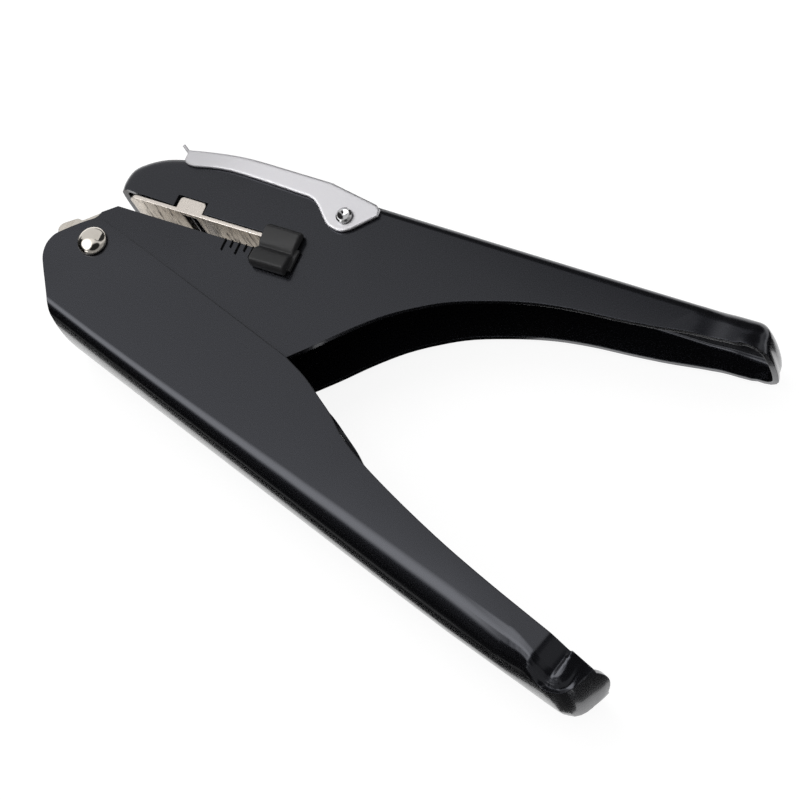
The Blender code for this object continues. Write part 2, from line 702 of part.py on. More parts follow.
def main_rivet(finish, parent):
    """Main rivet: domed head near, flat tail far."""
    head = handle_half + GAP
    tail = -head
    dome = []
    for k in range(6):
        angle = math.pi / 2 * k / 5
        dome.append((RIVET_HEAD * math.cos(angle) if k < 5 else 0, head + RIVET_RIM + RIVET_DOME * math.sin(angle)))
    profile = [(0, tail - RIVET_TAIL), (RIVET_HEAD, tail - RIVET_TAIL), (RIVET_HEAD, tail), (RIVET_SHANK, tail),
               (RIVET_SHANK, head), (RIVET_HEAD, head)] + dome
    return add_object("pivot_rivet", turned("pivot_rivet", profile), finish, parent)


def guide_channel(finish, parent):
    """Plated inner channel: card table on top, cheeks round the pivot, its front past the frame."""
    front = CHANNEL_FRONT
    work = bmesh.new()
    table = [(CHIN_SETBACK, TABLE_HEIGHT), (CHIN_SETBACK, TABLE_HEIGHT - CHANNEL_SHEET),
             (CHANNEL_LENGTH, TABLE_HEIGHT - CHANNEL_SHEET), (CHANNEL_LENGTH, TABLE_HEIGHT)]
    prism_work(table, -channel_half, channel_half, work)
    channel = add_object("guide_channel", mesh_from("guide_channel", work), finish, parent)
    nose = rounded([(-0.30 * front, 0.80 * TABLE_HEIGHT), (-0.50 * front, 0.60 * TABLE_HEIGHT)], 0)
    lobe = [
        (-0.60 * front, 0.50 * TABLE_HEIGHT), (-0.70 * front, 0.53 * TABLE_HEIGHT), (-0.96 * front, 0.31 * TABLE_HEIGHT),
        (-1.0 * front, 0.20 * TABLE_HEIGHT), (-0.96 * front, 0.08 * TABLE_HEIGHT), (-0.70 * front, -0.20 * TABLE_HEIGHT),
    ]
    outline = [
        (CHANNEL_LENGTH, TABLE_HEIGHT), (0.1 * front, TABLE_HEIGHT), (-0.05 * front, 0.97 * TABLE_HEIGHT),
        nose[0], nose[-1], *lobe,
        (-0.45 * front, -0.62 * BOSS_RADIUS), (0.0, -0.95 * BOSS_RADIUS), (0.7 * front, -0.80 * BOSS_RADIUS),
        (CHANNEL_REAR - 0.9 * TABLE_HEIGHT, -0.2 * TABLE_HEIGHT), (CHANNEL_REAR, 0.30 * TABLE_HEIGHT),
        (CHANNEL_LENGTH, 0.62 * TABLE_HEIGHT),
    ]
    outline = rounded(outline, GAP * 2, 2)
    cheeks = bmesh.new()
    prism_work(outline, channel_inner, channel_half, cheeks)
    prism_work(outline, -channel_half, -channel_inner, cheeks)
    cut(channel, "channel_cheeks", mesh_from("channel_cheeks", cheeks), operation="UNION")
    slot = stadium((0, 0), PUNCH_LENGTH + 2 * GAP, PUNCH_THICKNESS + 2 * GAP, 6, upright=True)
    through = prism("punch_slot", slot, -OVERRUN, OVERRUN)
    through.transform(Matrix.Rotation(-math.pi / 2, 4, "X"))
    cut(channel, "table_slot", through, (punch_x, TABLE_HEIGHT, 0))
    cut(channel, "channel_pivot_hole", round_cutter(RIVET_SHANK + GAP, channel_half + OVERRUN))
    return channel


def upright_plate(name, x0, x1, y0, y1, half, finish, parent, hole=None):
    """A flat block with an optional slot for the punch through its height."""
    block = prism(name, [(x0, y0), (x1, y0), (x1, y1), (x0, y1)], -half, half)
    item = add_object(name, block, finish, parent)
    if hole:
        length, width = hole
        through = prism(name + "_slot", stadium((0, 0), length, width, 6, upright=True), -OVERRUN, y1 - y0 + OVERRUN)
        through.transform(Matrix.Rotation(-math.pi / 2, 4, "X"))
        cut(item, name + "_hole", through, (punch_x, y0, 0))
    return item


def die_plate(finish, parent):
    """Plated plate under the upper jaw, as wide as the jaw, with a tab folded up into the notch on each side."""
    low = TABLE_HEIGHT + CARD_GAP
    face = half_width
    corners = arc((DIE_SETBACK + NOSE_BEND, face - NOSE_BEND), NOSE_BEND, 90, 180, 4)
    corners += arc((DIE_SETBACK + NOSE_BEND, -face + NOSE_BEND), NOSE_BEND, 180, 270, 4)
    outline = [(DIE_LENGTH, -face), (DIE_LENGTH, face)] + corners
    flat = prism("die_plate", outline, 0, DIE_SHEET)
    flat.transform(Matrix.Rotation(-math.pi / 2, 4, "X"))
    flat.transform(Matrix.Translation((0, low, 0)))
    plate = add_object("die_plate", flat, finish, parent)
    x0, x1 = punch_x - DIE_TAB_FRONT, punch_x + DIE_TAB_REAR
    corner = DIE_SHEET
    top = low + DIE_TAB_RISE - corner
    upright = [(x0, low), (x1, low), *arc((x1 - corner, top), corner, 0, 90, 3), *arc((x0 + corner, top), corner, 90, 180, 3)]
    tabs = bmesh.new()
    prism_work(upright, face - DIE_SHEET, face, tabs)
    prism_work(upright, -face, -face + DIE_SHEET, tabs)
    cut(plate, "die_tabs", mesh_from("die_tabs", tabs), operation="UNION")
    wide = PUNCH_THICKNESS / 2 + DIE_HOLE_MARGIN
    reach = face - DIE_WINDOW_MARGIN
    window = rounded([(-wide, -reach), (wide, -reach), (wide, reach), (-wide, reach)], GAP)
    through = prism("die_plate_slot", window, -OVERRUN, OVERRUN)
    through.transform(Matrix.Rotation(-math.pi / 2, 4, "X"))
    cut(plate, "die_plate_hole", through, (punch_x, low, 0))
    return plate


def slot_punch(steel, finish, parent):
    """Punch blade, its foot and the pin between them."""
    tip = TABLE_HEIGHT - PUNCH_RETREAT
    outline = stadium((0, 0), PUNCH_LENGTH, PUNCH_THICKNESS, 6, upright=True)
    blade_mesh = prism("slot_punch", outline, 0, tip - foot_top + POCKET_DEPTH)
    blade_mesh.transform(Matrix.Rotation(-math.pi / 2, 4, "X"))
    bottom = foot_top - POCKET_DEPTH
    blade_mesh.transform(Matrix.Translation((punch_x, bottom, 0)))
    blade = add_object("slot_punch", blade_mesh, steel, parent)
    keep = bracket_inner - 2 * GAP
    waist = bmesh.new()
    for sign in (1, -1):
        z0, z1 = sign * (keep - BRACKET_SHEET), sign * (PUNCH_LENGTH / 2 + OVERRUN)
        box = [(punch_x - PUNCH_THICKNESS, bottom - OVERRUN), (punch_x + PUNCH_THICKNESS, bottom - OVERRUN),
               (punch_x + PUNCH_THICKNESS, foot_top + GAP), (punch_x - PUNCH_THICKNESS, foot_top + GAP)]
        prism_work(box, min(z0, z1), max(z0, z1), waist)
    cut(blade, "blade_waist", mesh_from("blade_waist", waist))
    pin_y = (foot_top + bottom) / 2
    cut(blade, "blade_pin_hole", turned_along_x(FOOT_PIN + GAP, PUNCH_THICKNESS), (punch_x, pin_y, 0))
    x0, x1 = punch_x - FOOT_LENGTH / 2, punch_x + FOOT_LENGTH / 2
    y0 = drive_y - DRIVE_BOSS
    yoke = rounded([(x0, y0), (x1, y0), (x1, foot_top), (x0, foot_top)], DRIVE_PIN / 2)
    foot = add_object("punch_foot", prism("punch_foot", yoke, -keep, keep), finish, parent)
    pocket = [(punch_x - PUNCH_THICKNESS / 2 - GAP, bottom - GAP), (punch_x + PUNCH_THICKNESS / 2 + GAP, bottom - GAP),
              (punch_x + PUNCH_THICKNESS / 2 + GAP, foot_top + OVERRUN), (punch_x - PUNCH_THICKNESS / 2 - GAP, foot_top + OVERRUN)]
    cut(foot, "blade_pocket", prism("blade_pocket", pocket, -keep + BRACKET_SHEET - GAP, keep - BRACKET_SHEET + GAP))
    play = DRIVE_RADIUS - drive_x
    groove = stadium((punch_x, drive_y), 2 * (DRIVE_PIN + GAP) + play, 2 * (DRIVE_PIN + GAP), 6)
    cut(foot, "drive_groove", prism("drive_groove", groove, -keep - OVERRUN, keep + OVERRUN))
    cut(foot, "foot_pin_hole", turned_along_x(FOOT_PIN + GAP, FOOT_LENGTH), (punch_x, pin_y, 0))
    pin = turned_along_x(FOOT_PIN, FOOT_LENGTH / 2, 12)
    add_object("foot_pin", pin, steel, parent, (punch_x, pin_y, 0))


def turned_along_x(radius, half_length, sides=16):
    """A round bar along X."""
    bar = round_cutter(radius, half_length, sides)
    bar.transform(Matrix.Rotation(math.pi / 2, 4, "Y"))
    return bar


def drive_bracket(finish, steel, parent):
    """Bracket welded inside the lower handle, in the handle's own frame, and the pin that it carries."""
    swing = droop - rest_swing
    pin = (DRIVE_RADIUS * math.cos(swing), DRIVE_RADIUS * math.sin(swing))
    stop = (STOP_PIN_X * math.cos(droop) - STOP_PIN_Y * math.sin(droop),
            STOP_PIN_X * math.sin(droop) + STOP_PIN_Y * math.cos(droop))
    floor = -HANDLE_BACK + HANDLE_SHEET + GAP
    start = pin[0] - DRIVE_BOSS
    hook_low = stop[1] + STOP_PIN + GAP
    neck = stop[0] - STOP_PIN - DRIVE_PIN
    outline = [(start, floor), *arc(pin, DRIVE_BOSS, 180, 50, 6), (HOOK_REACH, hook_low + HOOK_HEIGHT),
               (HOOK_REACH, hook_low), (neck, hook_low), (neck - DRIVE_PIN, hook_low - DRIVE_PIN),
               (start + BRACKET_BASE, floor)]
    cheeks = bmesh.new()
    prism_work(outline, bracket_inner, bracket_half, cheeks)
    prism_work(outline, -bracket_half, -bracket_inner, cheeks)
    base = prism("drive_bracket", [(start, floor), (start + BRACKET_BASE, floor),
                 (start + BRACKET_BASE, floor + BRACKET_SHEET), (start, floor + BRACKET_SHEET)], -bracket_half, bracket_half)
    bracket = add_object("drive_bracket", base, finish, parent)
    cut(bracket, "bracket_cheeks", mesh_from("bracket_cheeks", cheeks), operation="UNION")
    cut(bracket, "drive_pin_hole", round_cutter(DRIVE_PIN + GAP, bracket_half + OVERRUN), (*pin, 0))
    add_object("drive_pin", round_cutter(DRIVE_PIN, bracket_half), steel, parent, (*pin, 0))


def return_spring(finish, parent):
    """Torsion spring round the bush: one unbroken wire with a leg under the table and a leg on the handle's back."""
    height = SPRING_TURNS * SPRING_PITCH
    wire_room = WIRE / 2 + GAP
    leg_end = Vector((SPRING_LEG_END, TABLE_HEIGHT - CHANNEL_SHEET - wire_room))
    floor = -HANDLE_BACK + HANDLE_SHEET + wire_room
    foot_end = Vector((SPRING_FOOT_END * math.cos(droop) + floor * math.sin(droop),
                       -SPRING_FOOT_END * math.sin(droop) + floor * math.cos(droop)))

    def touch(point, sign):
        """Angle at which a straight leg to the point leaves the coil."""
        return math.atan2(point.y, point.x) + sign * math.acos(coil_radius / point.length)

    first = touch(foot_end, -1)
    last = touch(leg_end, 1)
    sweep = 2 * math.pi * SPRING_TURNS + (last - first) % (2 * math.pi)
    count = 9 * (SPRING_TURNS + 1)
    points = [(foot_end.x, foot_end.y, -height / 2)]
    coil = []
    for k in range(count + 1):
        angle = first + sweep * k / count
        coil.append((coil_radius * math.cos(angle), coil_radius * math.sin(angle), -height / 2 + height * k / count))
    points += coil + [(leg_end.x, leg_end.y, height / 2)]
    rise = height * 2 * math.pi / sweep
    print("return_spring least gap to itself, mm:", round((rise - WIRE) * 1000, 3))
    curve = bpy.data.curves.new("return_spring", "CURVE")
    curve.dimensions = "3D"
    curve.bevel_depth = WIRE / 2
    curve.bevel_resolution = 1
    curve.use_fill_caps = True
    line = curve.splines.new("POLY")
    line.points.add(len(points) - 1)
    for spot, point in zip(line.points, points):
        spot.co = (*point, 1)
    item = bpy.data.objects.new("return_spring", curve)
    bpy.context.scene.collection.objects.link(item)
    item.parent = parent
    curve.materials.append(finish)
    return item


def chip_cover(finish, parent):
    """Lever over the upper jaw: a top that follows the frame's back, flanges outside the sides and a finger tab."""
    stand = GAP + COVER_SHEET
    back = height_on(frame_back() + [(x, frame_height(x)) for x in (COVER_TOP_END, 2 * COVER_HINGE_X)])
    run = 12
    upper, lower = [], []
    for k in range(run + 1):
        x = COVER_FRONT + (COVER_TOP_END - COVER_FRONT) * k / run
        upper.append((x, back(x) + BACK_CROWN + stand))
        lower.append((x, back(x) + BACK_CROWN + GAP))
    tab_tip = (upper[0][0] - 0.85 * COVER_TAB, upper[0][1] + 0.53 * COVER_TAB)
    tab = [(tab_tip[0] - 0.53 * COVER_SHEET, tab_tip[1] - 0.85 * COVER_SHEET), tab_tip]
    top = [tab[0]] + lower + list(reversed(upper)) + [tab[1]]
    top = [(x - COVER_HINGE_X, y - cover_hinge_y) for x, y in top]
    cover = add_object("chip_cover", prism("chip_cover", top, -cover_half, cover_half), finish, parent)
    foot_run = COVER_TOP_END - COVER_FRONT
    foot = [(COVER_FRONT + x * foot_run, back(COVER_FRONT + x * foot_run) - y * COVER_LOBE)
            for x, y in cover_foot_shares]
    lobe = [(COVER_HINGE_X + x * COVER_LOBE, cover_hinge_y + y * COVER_LOBE) for x, y in cover_lobe_shares]
    rear = COVER_HINGE_X + 1.85 * COVER_LOBE
    heel = [(rear, cover_hinge_y + 0.62 * COVER_LOBE), (rear - GAP, cover_hinge_y + 1.0 * COVER_LOBE),
            (rear - 2 * COVER_SHEET, cover_hinge_y + 1.2 * COVER_LOBE)]
    outline = curve_through(foot + lobe, 2) + heel + [(x, y - GAP / 3) for x, y in reversed(upper)]
    outline = [(x - COVER_HINGE_X, y - cover_hinge_y) for x, y in outline]
    flanges = bmesh.new()
    prism_work(outline, cover_inner, cover_half, flanges)
    prism_work(outline, -cover_half, -cover_inner, flanges)
    cut(cover, "cover_flanges", mesh_from("cover_flanges", flanges), operation="UNION")
    cut(cover, "cover_rivet_hole", round_cutter(COVER_RIVET + GAP, cover_half + OVERRUN))
    return cover


def cover_rivet(name, sign, finish, parent):
    """Short rivet that holds a flange of the cover to the frame's side, with a dimpled head."""
    inside = inner_half - GAP
    head = cover_half + GAP
    ring = COVER_HEAD - (COVER_HEAD - COVER_DIMPLE) / 2
    profile = [(0, inside - COVER_HEAD_RISE), (COVER_HEAD, inside - COVER_HEAD_RISE), (COVER_HEAD, inside),
               (COVER_RIVET, inside), (COVER_RIVET, head), (COVER_HEAD, head),
               (COVER_HEAD, head + COVER_HEAD_RISE / 2), (ring, head + COVER_HEAD_RISE),
               (COVER_DIMPLE, head + COVER_HEAD_RISE), (COVER_DIMPLE / 2, head + COVER_HEAD_RISE / 2),
               (0, head + COVER_HEAD_RISE / 2)]
    body = turned(name, [(r, sign * z) for r, z in profile], 20)
    return add_object(name, body, finish, parent, (COVER_HINGE_X, cover_hinge_y, 0))


def card_stop(plastic, steel, parent):
    """Sliding card stop: a grip block on each side and the bar between them, in the slot."""
    for name, sign in (("stop_block_near", 1), ("stop_block_far", -1)):
        base = half_width + GAP
        face = base + STOP_FLANGE_SHEET + STOP_THICKNESS - STOP_GRIP_DEPTH
        height = STOP_TOP - STOP_BOTTOM
        waist = STOP_BOTTOM + 0.46 * height
        side = [
            (STOP_BOTTOM, base), (STOP_BOTTOM, face - 0.2 * STOP_GRIP_DEPTH),
            (STOP_BOTTOM + 0.06 * height, face + STOP_GRIP_DEPTH), (waist - 0.12 * height, face + 0.6 * STOP_GRIP_DEPTH),
            (waist, face - STOP_GRIP_DEPTH), (waist + 0.10 * height, face), (STOP_TOP - 0.08 * height, face + 0.3 * STOP_GRIP_DEPTH),
            (STOP_TOP, face - STOP_GRIP_DEPTH), (STOP_TOP, base),
        ]
        body = prism(name, [(z * sign, y) for y, z in side], 0, STOP_LENGTH)
        body.transform(Matrix.Rotation(math.pi / 2, 4, "Y"))
        body.transform(Matrix.Scale(-1, 4, Vector((0, 0, 1))))
        body.flip_normals()
        block = add_object(name, body, plastic, parent)
        flange = [
            (STOP_LENGTH / 2, STOP_BOTTOM + 0.12 * height), (STOP_LENGTH + STOP_FLANGE, STOP_BOTTOM + 0.12 * height),
            (STOP_LENGTH + STOP_FLANGE, STOP_BOTTOM + 0.62 * height), (STOP_LENGTH / 2, STOP_BOTTOM + 0.62 * height),
        ]
        low, high = sorted((sign * base, sign * (base + STOP_FLANGE_SHEET)))
        cut(block, name + "_flange", prism(name + "_flange", flange, low, high), operation="UNION")
        edges = block.modifiers.new("edges", "BEVEL")
        edges.width = STOP_BEVEL
        edges.segments = 2
        edges.limit_method = "ANGLE"
        edges.angle_limit = math.radians(40)
        block.modifiers.move(1, 0)
    y0, y1 = lower_edge + GAP, TABLE_HEIGHT + CARD_GAP - GAP
    x0 = 2 * STOP_BEVEL
    x1 = x0 + STOP_BAR_LENGTH
    bar = rounded([(x0, y0), (x1, y0), (x1, y1), (x0, y1)], STOP_BEVEL)
    add_object("stop_bar", prism("stop_bar", bar, -half_width, half_width), steel, parent)


def build():
    """Make every piece and hang it on its joint's axis."""
    clear_scene()
    black = material("black_paint", (0.045, 0.045, 0.050), 0.38, 0.0)
    nickel = material("nickel_plate", (0.72, 0.67, 0.60), 0.22, 1.0)
    silver = material("satin_silver", (0.78, 0.77, 0.79), 0.35, 1.0)
    steel = material("tool_steel", (0.40, 0.40, 0.42), 0.30, 1.0)
    plastic = material("black_plastic", (0.030, 0.030, 0.032), 0.45, 0.0)

    middle = add_empty("mid_plane", (0, 0, rest_height))
    handle_axis = add_empty("handle_axis", (0, 0, 0), middle, -droop)
    cover_axis = add_empty("cover_axis", (COVER_HINGE_X, cover_hinge_y, 0), middle)
    punch_axis = add_empty("punch_axis", (0, 0, 0), middle)
    stop_axis = add_empty("stop_axis", (STOP_FRONT, 0, 0), middle)

    frame_shell(black, middle)
    guide_channel(nickel, middle)
    die_plate(nickel, middle)
    upright_plate(
        "die_insert", punch_x - INSERT_LENGTH / 2, punch_x + INSERT_LENGTH / 2, die_top + GAP,
        die_top + GAP + INSERT_HEIGHT, PUNCH_LENGTH / 2 + INSERT_WALL, steel, middle,
        (PUNCH_LENGTH + 2 * DIE_CLEARANCE, PUNCH_THICKNESS + 2 * DIE_CLEARANCE),
    )
    upright_plate(
        "punch_guide", punch_x - GUIDE_LENGTH / 2, punch_x + GUIDE_LENGTH / 2, guide_bottom,
        guide_top, channel_inner - GAP, steel, middle,
        (PUNCH_LENGTH + 2 * GAP, PUNCH_THICKNESS + 2 * GAP),
    )
    main_rivet(nickel, middle)
    bush = tube_mesh("pivot_bush", RIVET_SHANK + GAP, RIVET_SHANK + GAP + BUSH_WALL, -channel_inner + GAP, channel_inner - GAP)
    add_object("pivot_bush", bush, steel, middle)
    return_spring(steel, middle)
    add_object("stop_pin", round_cutter(STOP_PIN, half_width), steel, middle, (STOP_PIN_X, STOP_PIN_Y, 0))
    cover_rivet("cover_rivet_near", 1, nickel, middle)
    cover_rivet("cover_rivet_far", -1, nickel, middle)

    lower_handle(black, handle_axis)
    drive_bracket(steel, steel, handle_axis)
    slot_punch(steel, steel, punch_axis)
    chip_cover(silver, cover_axis)
    card_stop(plastic, steel, stop_axis)


build()
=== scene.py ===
# %% [markdown]
# A card slot punch: two painted steel channels on a rivet, with a plated die plate between the jaws.
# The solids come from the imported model, and this file gives them their finishes, a studio and a camera.
# Every length here is in metres, in the model's own axes: X runs from the jaw's mouth to the handles' ends,
# Y from the lower jaw to the upper one, and Z out of the side that faces the camera.

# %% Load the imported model
import math

import bmesh
import bpy
import numpy as np
from mathutils import Matrix, Vector


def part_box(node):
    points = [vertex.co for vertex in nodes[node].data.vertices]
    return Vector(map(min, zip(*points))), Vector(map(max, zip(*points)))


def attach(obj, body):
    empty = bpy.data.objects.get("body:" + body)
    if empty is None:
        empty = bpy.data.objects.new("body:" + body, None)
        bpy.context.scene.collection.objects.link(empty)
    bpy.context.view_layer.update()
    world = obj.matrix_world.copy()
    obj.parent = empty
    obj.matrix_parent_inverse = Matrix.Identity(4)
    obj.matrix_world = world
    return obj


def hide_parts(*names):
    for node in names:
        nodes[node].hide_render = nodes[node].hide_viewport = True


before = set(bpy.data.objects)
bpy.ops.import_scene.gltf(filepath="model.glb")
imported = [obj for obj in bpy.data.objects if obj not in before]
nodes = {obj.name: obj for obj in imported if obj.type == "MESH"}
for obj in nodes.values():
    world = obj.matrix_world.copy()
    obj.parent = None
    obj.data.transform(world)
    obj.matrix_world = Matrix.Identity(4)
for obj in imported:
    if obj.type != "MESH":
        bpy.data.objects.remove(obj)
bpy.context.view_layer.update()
mm = 0.001

# %% [markdown]
# The near and far corners of both grips only agree with the photograph from a camera about 0.8 m away,
# on a lens of 140 mm. Its place and its three axes were solved from those corners, so they are given as
# they came out. It looks down at the punch, which lies on its side.

# %% Camera
camera_back = Vector((0.410132, -0.286143, 0.865976))
camera_right = Vector((0.868438, 0.412558, -0.274977))
camera_up = camera_back.cross(camera_right)
camera_place = Vector((0.408310, -0.231774, 0.682151))
lens_length = 140.31

camera_data = bpy.data.cameras.new("portrait_lens")
camera_data.lens = lens_length
camera_data.sensor_width = 36.0
camera_data.clip_start = 0.05
camera_data.clip_end = 20.0
camera = bpy.data.objects.new("portrait_lens", camera_data)
turn = Matrix((camera_right, camera_up, camera_back)).transposed()
camera.matrix_world = Matrix.Translation(camera_place) @ turn.to_4x4()
bpy.context.scene.collection.objects.link(camera)
bpy.context.scene.camera = camera
print("camera distance in m:", round(camera_place.length, 2))


# %% [markdown]
# Every finish is a small tree of shader nodes. Trees could be built by hand in the editor, but a script
# gives the same tree each time. Short helpers keep it readable: they put an object into the scene, add a
# node and set its inputs, join sockets, and start a material or a node group.

# %% Helpers
def place_object(name, data):
    """Put a new object with this data into the scene, at the origin."""
    made = bpy.data.objects.new(name, data)
    bpy.context.scene.collection.objects.link(made)
    return made


def add_node(tree, kind, **settings):
    """Add a node to a tree. A setting that names an input sets that input, else the node's own property."""
    node = tree.nodes.new(kind)
    for name, value in settings.items():
        label = name.replace("_", " ")
        match = [s for s in node.inputs if s.name.lower() == label.lower()]
        if match:
            match[0].default_value = value
        else:
            setattr(node, name, value)
    return node


def join(tree, *pairs):
    """Link each output socket to the input socket that follows it."""
    for start, end in zip(pairs[::2], pairs[1::2]):
        tree.links.new(start, end)


def empty_material(name):
    """Start a material with nothing in its tree, and return both."""
    made = bpy.data.materials.new(name)
    made.use_nodes = True
    made.node_tree.nodes.clear()
    return made, made.node_tree


def new_material(name):
    """Start a material from a Principled BSDF, and return it with its tree and that shader."""
    made, tree = empty_material(name)
    shader = tree.nodes.new("ShaderNodeBsdfPrincipled")
    output = tree.nodes.new("ShaderNodeOutputMaterial")
    tree.links.new(shader.outputs["BSDF"], output.inputs["Surface"])
    return made, tree, shader


def group_with(name, inputs, outputs):
    """Start a node group from pairs of a socket's name and kind, and return it with its two end nodes."""
    made = bpy.data.node_groups.new(name, "ShaderNodeTree")
    for label, kind in inputs:
        made.interface.new_socket(label, in_out="INPUT", socket_type=kind)
    for label, kind in outputs:
        made.interface.new_socket(label, in_out="OUTPUT", socket_type=kind)
    start = made.nodes.new("NodeGroupInput")
    end = made.nodes.new("NodeGroupOutput")
    return made, start, end


FLOAT, VECTOR = "NodeSocketFloat", "NodeSocketVector"
print("sockets of node groups:", FLOAT, "and", VECTOR)


# %% [markdown]
# The studio is a white floor in a white room. The floor looks white because its colour is white for
# camera rays, not because more light falls on it. Near the punch a share of the floor's white is a plain
# diffuse surface under the lamps, so it takes a soft shadow, and that share fades out with distance.

# %% Floor
floor_half, floor_height, floor_white = 6.0, -0.06 * mm, 0.9
shadow_middle, shadow_near, shadow_far = (0.085, -0.02, 0.0), 0.10, 0.24
shadow_share, film_brightness = 0.22, 0.52


def white_floor():
    """White light for rays that look at the floor, plus a share of diffuse white near the punch."""
    made, tree = empty_material("white_floor")
    place = add_node(tree, "ShaderNodeTexCoord")
    centre = add_node(tree, "ShaderNodeVectorMath", operation="DISTANCE")
    centre.inputs[1].default_value = shadow_middle
    fade = add_node(tree, "ShaderNodeMapRange", interpolation_type="SMOOTHSTEP")
    fade.inputs["From Min"].default_value = shadow_near
    fade.inputs["From Max"].default_value = shadow_far
    fade.inputs["To Min"].default_value = 1 - shadow_share * film_brightness
    fade.inputs["To Max"].default_value = 1.0
    path = add_node(tree, "ShaderNodeLightPath")
    looked_at = add_node(tree, "ShaderNodeMath", operation="MAXIMUM")
    looked_at_too = add_node(tree, "ShaderNodeMath", operation="MAXIMUM")
    glow = add_node(tree, "ShaderNodeEmission", color=(1, 1, 1, 1))
    film = add_node(tree, "ShaderNodeBsdfDiffuse", color=(shadow_share, shadow_share, shadow_share, 1))
    lit = add_node(tree, "ShaderNodeAddShader")
    plain = add_node(tree, "ShaderNodeBsdfDiffuse", color=(floor_white, floor_white, floor_white, 1))
    mix = add_node(tree, "ShaderNodeMixShader")
    output = add_node(tree, "ShaderNodeOutputMaterial")
    join(
        tree,
        place.outputs["Object"], centre.inputs[0],
        centre.outputs["Value"], fade.inputs["Value"],
        path.outputs["Is Camera Ray"], looked_at.inputs[0],
        path.outputs["Is Glossy Ray"], looked_at.inputs[1],
        looked_at.outputs[0], looked_at_too.inputs[0],
        path.outputs["Is Transmission Ray"], looked_at_too.inputs[1],
        fade.outputs["Result"], glow.inputs["Strength"],
        glow.outputs[0], lit.inputs[0],
        film.outputs[0], lit.inputs[1],
        looked_at_too.outputs[0], mix.inputs["Fac"],
        plain.outputs[0], mix.inputs[1],
        lit.outputs[0], mix.inputs[2],
        mix.outputs[0], output.inputs["Surface"],
    )
    return made


def flat_board(name, outline, height, material):
    """One flat face through the outline's corners at a height."""
    mesh = bpy.data.meshes.new(name)
    corners = np.column_stack([outline, np.full(len(outline), height)])
    mesh.from_pydata(corners.tolist(), [], [tuple(range(len(corners)))])
    mesh.materials.append(material)
    board = place_object(name, mesh)
    return board


flat_board(
    "floor", np.array([(-1, -1), (1, -1), (1, 1), (-1, 1)]) * floor_half, floor_height, white_floor()
)
print("floor side in m:", 2 * floor_half)

# %% [markdown]
# A photographer lays black cards beside glossy things to give them dark edges. Here the cards lie on the
# floor, and only reflections see them. The long one lies behind the lower handle and starts about 6 mm from
# it, so the flat back still mirrors white floor, and the rounded corner above it mirrors black. A grey
# stripe on the cards gives the faint second highlight low on that corner. The lower handle's middle line
# droops by 17 degrees from X, so its card is laid out along and out from that line.

# %% Cards that only reflections see
handle_droop = math.radians(17.05)
handle_back = 21.4 * mm
card_start, card_reach, card_past_end = 5.8 * mm, 4.0, 0.6
stripe_middle, stripe_half = 22 * mm, 9 * mm
stripe_level, black_level = 0.20, 0.004
along = np.array([math.cos(handle_droop), -math.sin(handle_droop)])
outward = np.array([-math.sin(handle_droop), -math.cos(handle_droop)])


def black_card():
    """Black, with a stripe of faint light along it: level x smooth bump of the distance from its middle."""
    made, tree = empty_material("black_card")
    place = add_node(tree, "ShaderNodeTexCoord")
    across = add_node(tree, "ShaderNodeVectorMath", operation="DOT_PRODUCT")
    across.inputs[1].default_value = (*outward, 0.0)
    off = add_node(tree, "ShaderNodeMath", operation="SUBTRACT")
    off.inputs[1].default_value = handle_back + stripe_middle
    size = add_node(tree, "ShaderNodeMath", operation="ABSOLUTE")
    bump = add_node(tree, "ShaderNodeMapRange", interpolation_type="SMOOTHSTEP")
    bump.inputs["From Min"].default_value = 0.0
    bump.inputs["From Max"].default_value = stripe_half
    bump.inputs["To Min"].default_value = stripe_level
    bump.inputs["To Max"].default_value = black_level
    glow = add_node(tree, "ShaderNodeEmission", color=(1, 1, 1, 1))
    output = add_node(tree, "ShaderNodeOutputMaterial")
    join(
        tree,
        place.outputs["Object"], across.inputs[0],
        across.outputs["Value"], off.inputs[0],
        off.outputs[0], size.inputs[0],
        size.outputs[0], bump.inputs["Value"],
        bump.outputs["Result"], glow.inputs["Strength"],
        glow.outputs[0], output.inputs["Surface"],
    )
    return made


def plain_glow(name, level):
    """An even light of one level."""
    made, tree = empty_material(name)
    glow = add_node(tree, "ShaderNodeEmission", color=(1, 1, 1, 1), strength=level)
    output = add_node(tree, "ShaderNodeOutputMaterial")
    join(tree, glow.outputs[0], output.inputs["Surface"])
    return made


def by_handle(*places):
    """Turn distances along the lower handle and out from its middle line, in mm, into X and Y."""
    places = np.array(places) * mm
    return places[:, :1] * along + places[:, 1:] * outward


def rectangle(low, high):
    """Corners of an upright rectangle, in mm, anticlockwise from the low one."""
    return np.array([low, (high[0], low[1]), high, (low[0], high[1])]) * mm


# %% [markdown]
# The other cards are short. They darken the inside of the two handles, the rear of the upper jaw, and what
# the rounded ends mirror. The card by the lower handle's tip starts a little off it, so the foot of the end
# wall stays light. One pale card hangs near the rivet, where the room behind is dark. The corner and tip
# cards lie a few thousandths of a millimetre over the others, so that they cover them.

